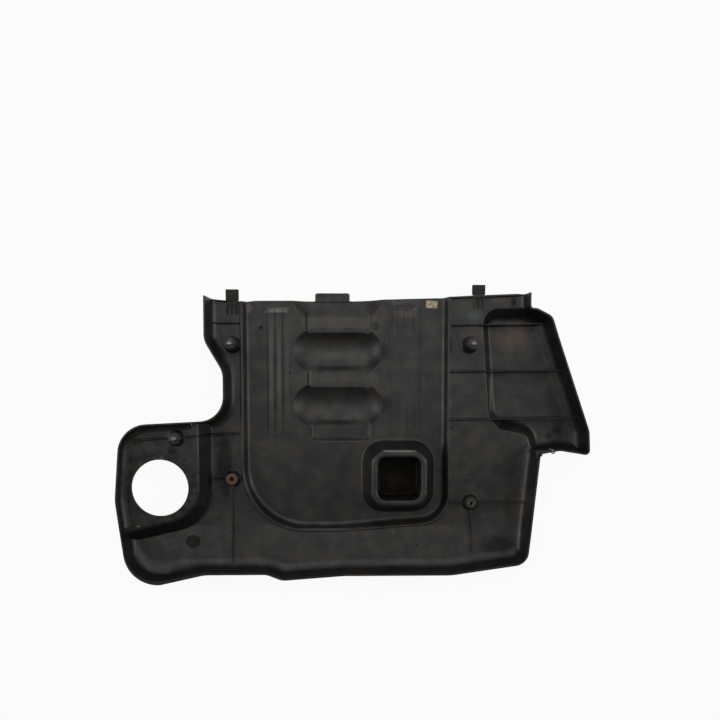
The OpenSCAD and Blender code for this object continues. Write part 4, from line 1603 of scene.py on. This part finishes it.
@dataclass
class Studio:
    """Pale floor with a high rim all round, soft boxes and the camera straight above."""

    floor_r: float = 6.0
    rim_h: float = 2.4
    camera_at: tuple[float, float, float] = (-0.0005, -0.0028, 1.1)
    lens: float = 35.35
    shift: Point = (0.009, 0.1056)
    world_level: float = 0.1
    white_share: float = 0.93

    def backdrop_material(self) -> bpy.types.Material:
        """White paper that shows as white to the camera and, near the ground, in reflections.

        Returns:
            The material.
        """
        material, tree, place = new_material("white_paper_sweep")
        path = add(tree, "LightPath").outputs
        height = add(tree, "SeparateXYZ", {0: place}).outputs[2]
        low = add(tree, "MapRange", {0: height, 1: 0.02, 2: 0.4, 3: 1.0, 4: 0.1}, **SMOOTH)
        glossy, through = path["Is Glossy Ray"], path["Is Transmission Ray"]
        mirrored = add(tree, "Math", {0: glossy, 1: through}, operation="MAXIMUM")
        mirrored = add(tree, "Math", {0: mirrored, 1: low}, operation="MULTIPLY")
        seen = add(tree, "Math", {0: path["Is Camera Ray"], 1: mirrored}, operation="MAXIMUM")
        share = add(tree, "Math", {0: seen, 1: self.white_share}, operation="MULTIPLY")
        lit = add(tree, "BsdfDiffuse", {"Color": linear("dedede")})
        white = add(tree, "Emission", {"Color": (1, 1, 1, 1), "Strength": 1.0})
        add(tree, "OutputMaterial", {"Surface": add(tree, "MixShader", {0: share, 1: lit, 2: white})})
        return material

    def build(self) -> None:
        """Makes floor, world, lamps and camera."""
        r, bend = self.floor_r, 1.2
        curve = [(r - bend + bend * math.sin(a), bend - bend * math.cos(a)) for a in
                 (math.pi / 2 * i / 10 for i in range(11))]
        profile = [(0.0, 0.0), *curve, (r, self.rim_h), (r + 0.05, self.rim_h), (r + 0.05, -0.05), (0.0, -0.05)]
        floor = spin_profile("floor_sweep", profile, 96)
        smooth(floor, 40.0, weighted=False)
        floor.data.materials.append(self.backdrop_material())
        world = bpy.data.worlds.new("room")
        world.use_nodes = True
        world.node_tree.nodes["Background"].inputs["Color"].default_value = linear("f2f2f2")
        world.node_tree.nodes["Background"].inputs["Strength"].default_value = self.world_level
        bpy.context.scene.world = world
        for lamp in LAMPS:
            lamp.build()
        data = bpy.data.cameras.new("camera")
        data.lens = self.lens
        data.sensor_width = 36.0
        data.shift_x, data.shift_y = self.shift
        camera = bpy.data.objects.new("camera", data)
        camera.location = self.camera_at
        bpy.context.scene.collection.objects.link(camera)
        bpy.context.scene.camera = camera
        bpy.context.scene.view_settings.view_transform = "Standard"


def main() -> None:
    """Builds the studio and the cover."""
    logging.basicConfig(level=logging.INFO, format="%(name)s: %(message)s")
    Studio().build()
    Shell().build(MouldedPlastic().build())
    rust = Steel("rusty_steel", "645a50", "483d34", "3b291d", rust_share=0.7, roughness=0.58)
    dark = Steel("phosphated_spring_steel", "55524e", "343230", "3f332b", rust_share=0.3, roughness=0.42)
    Fittings().build(Rubber().build(), Steel().build(), dark.build(), rust.build())
    felt = Felt().build()
    for side in TONGUES:
        FeltSleeve(side).build(felt)
    PaperLabel().build(Paper().build())
    deselect()


if __name__ == "__main__":
    main()
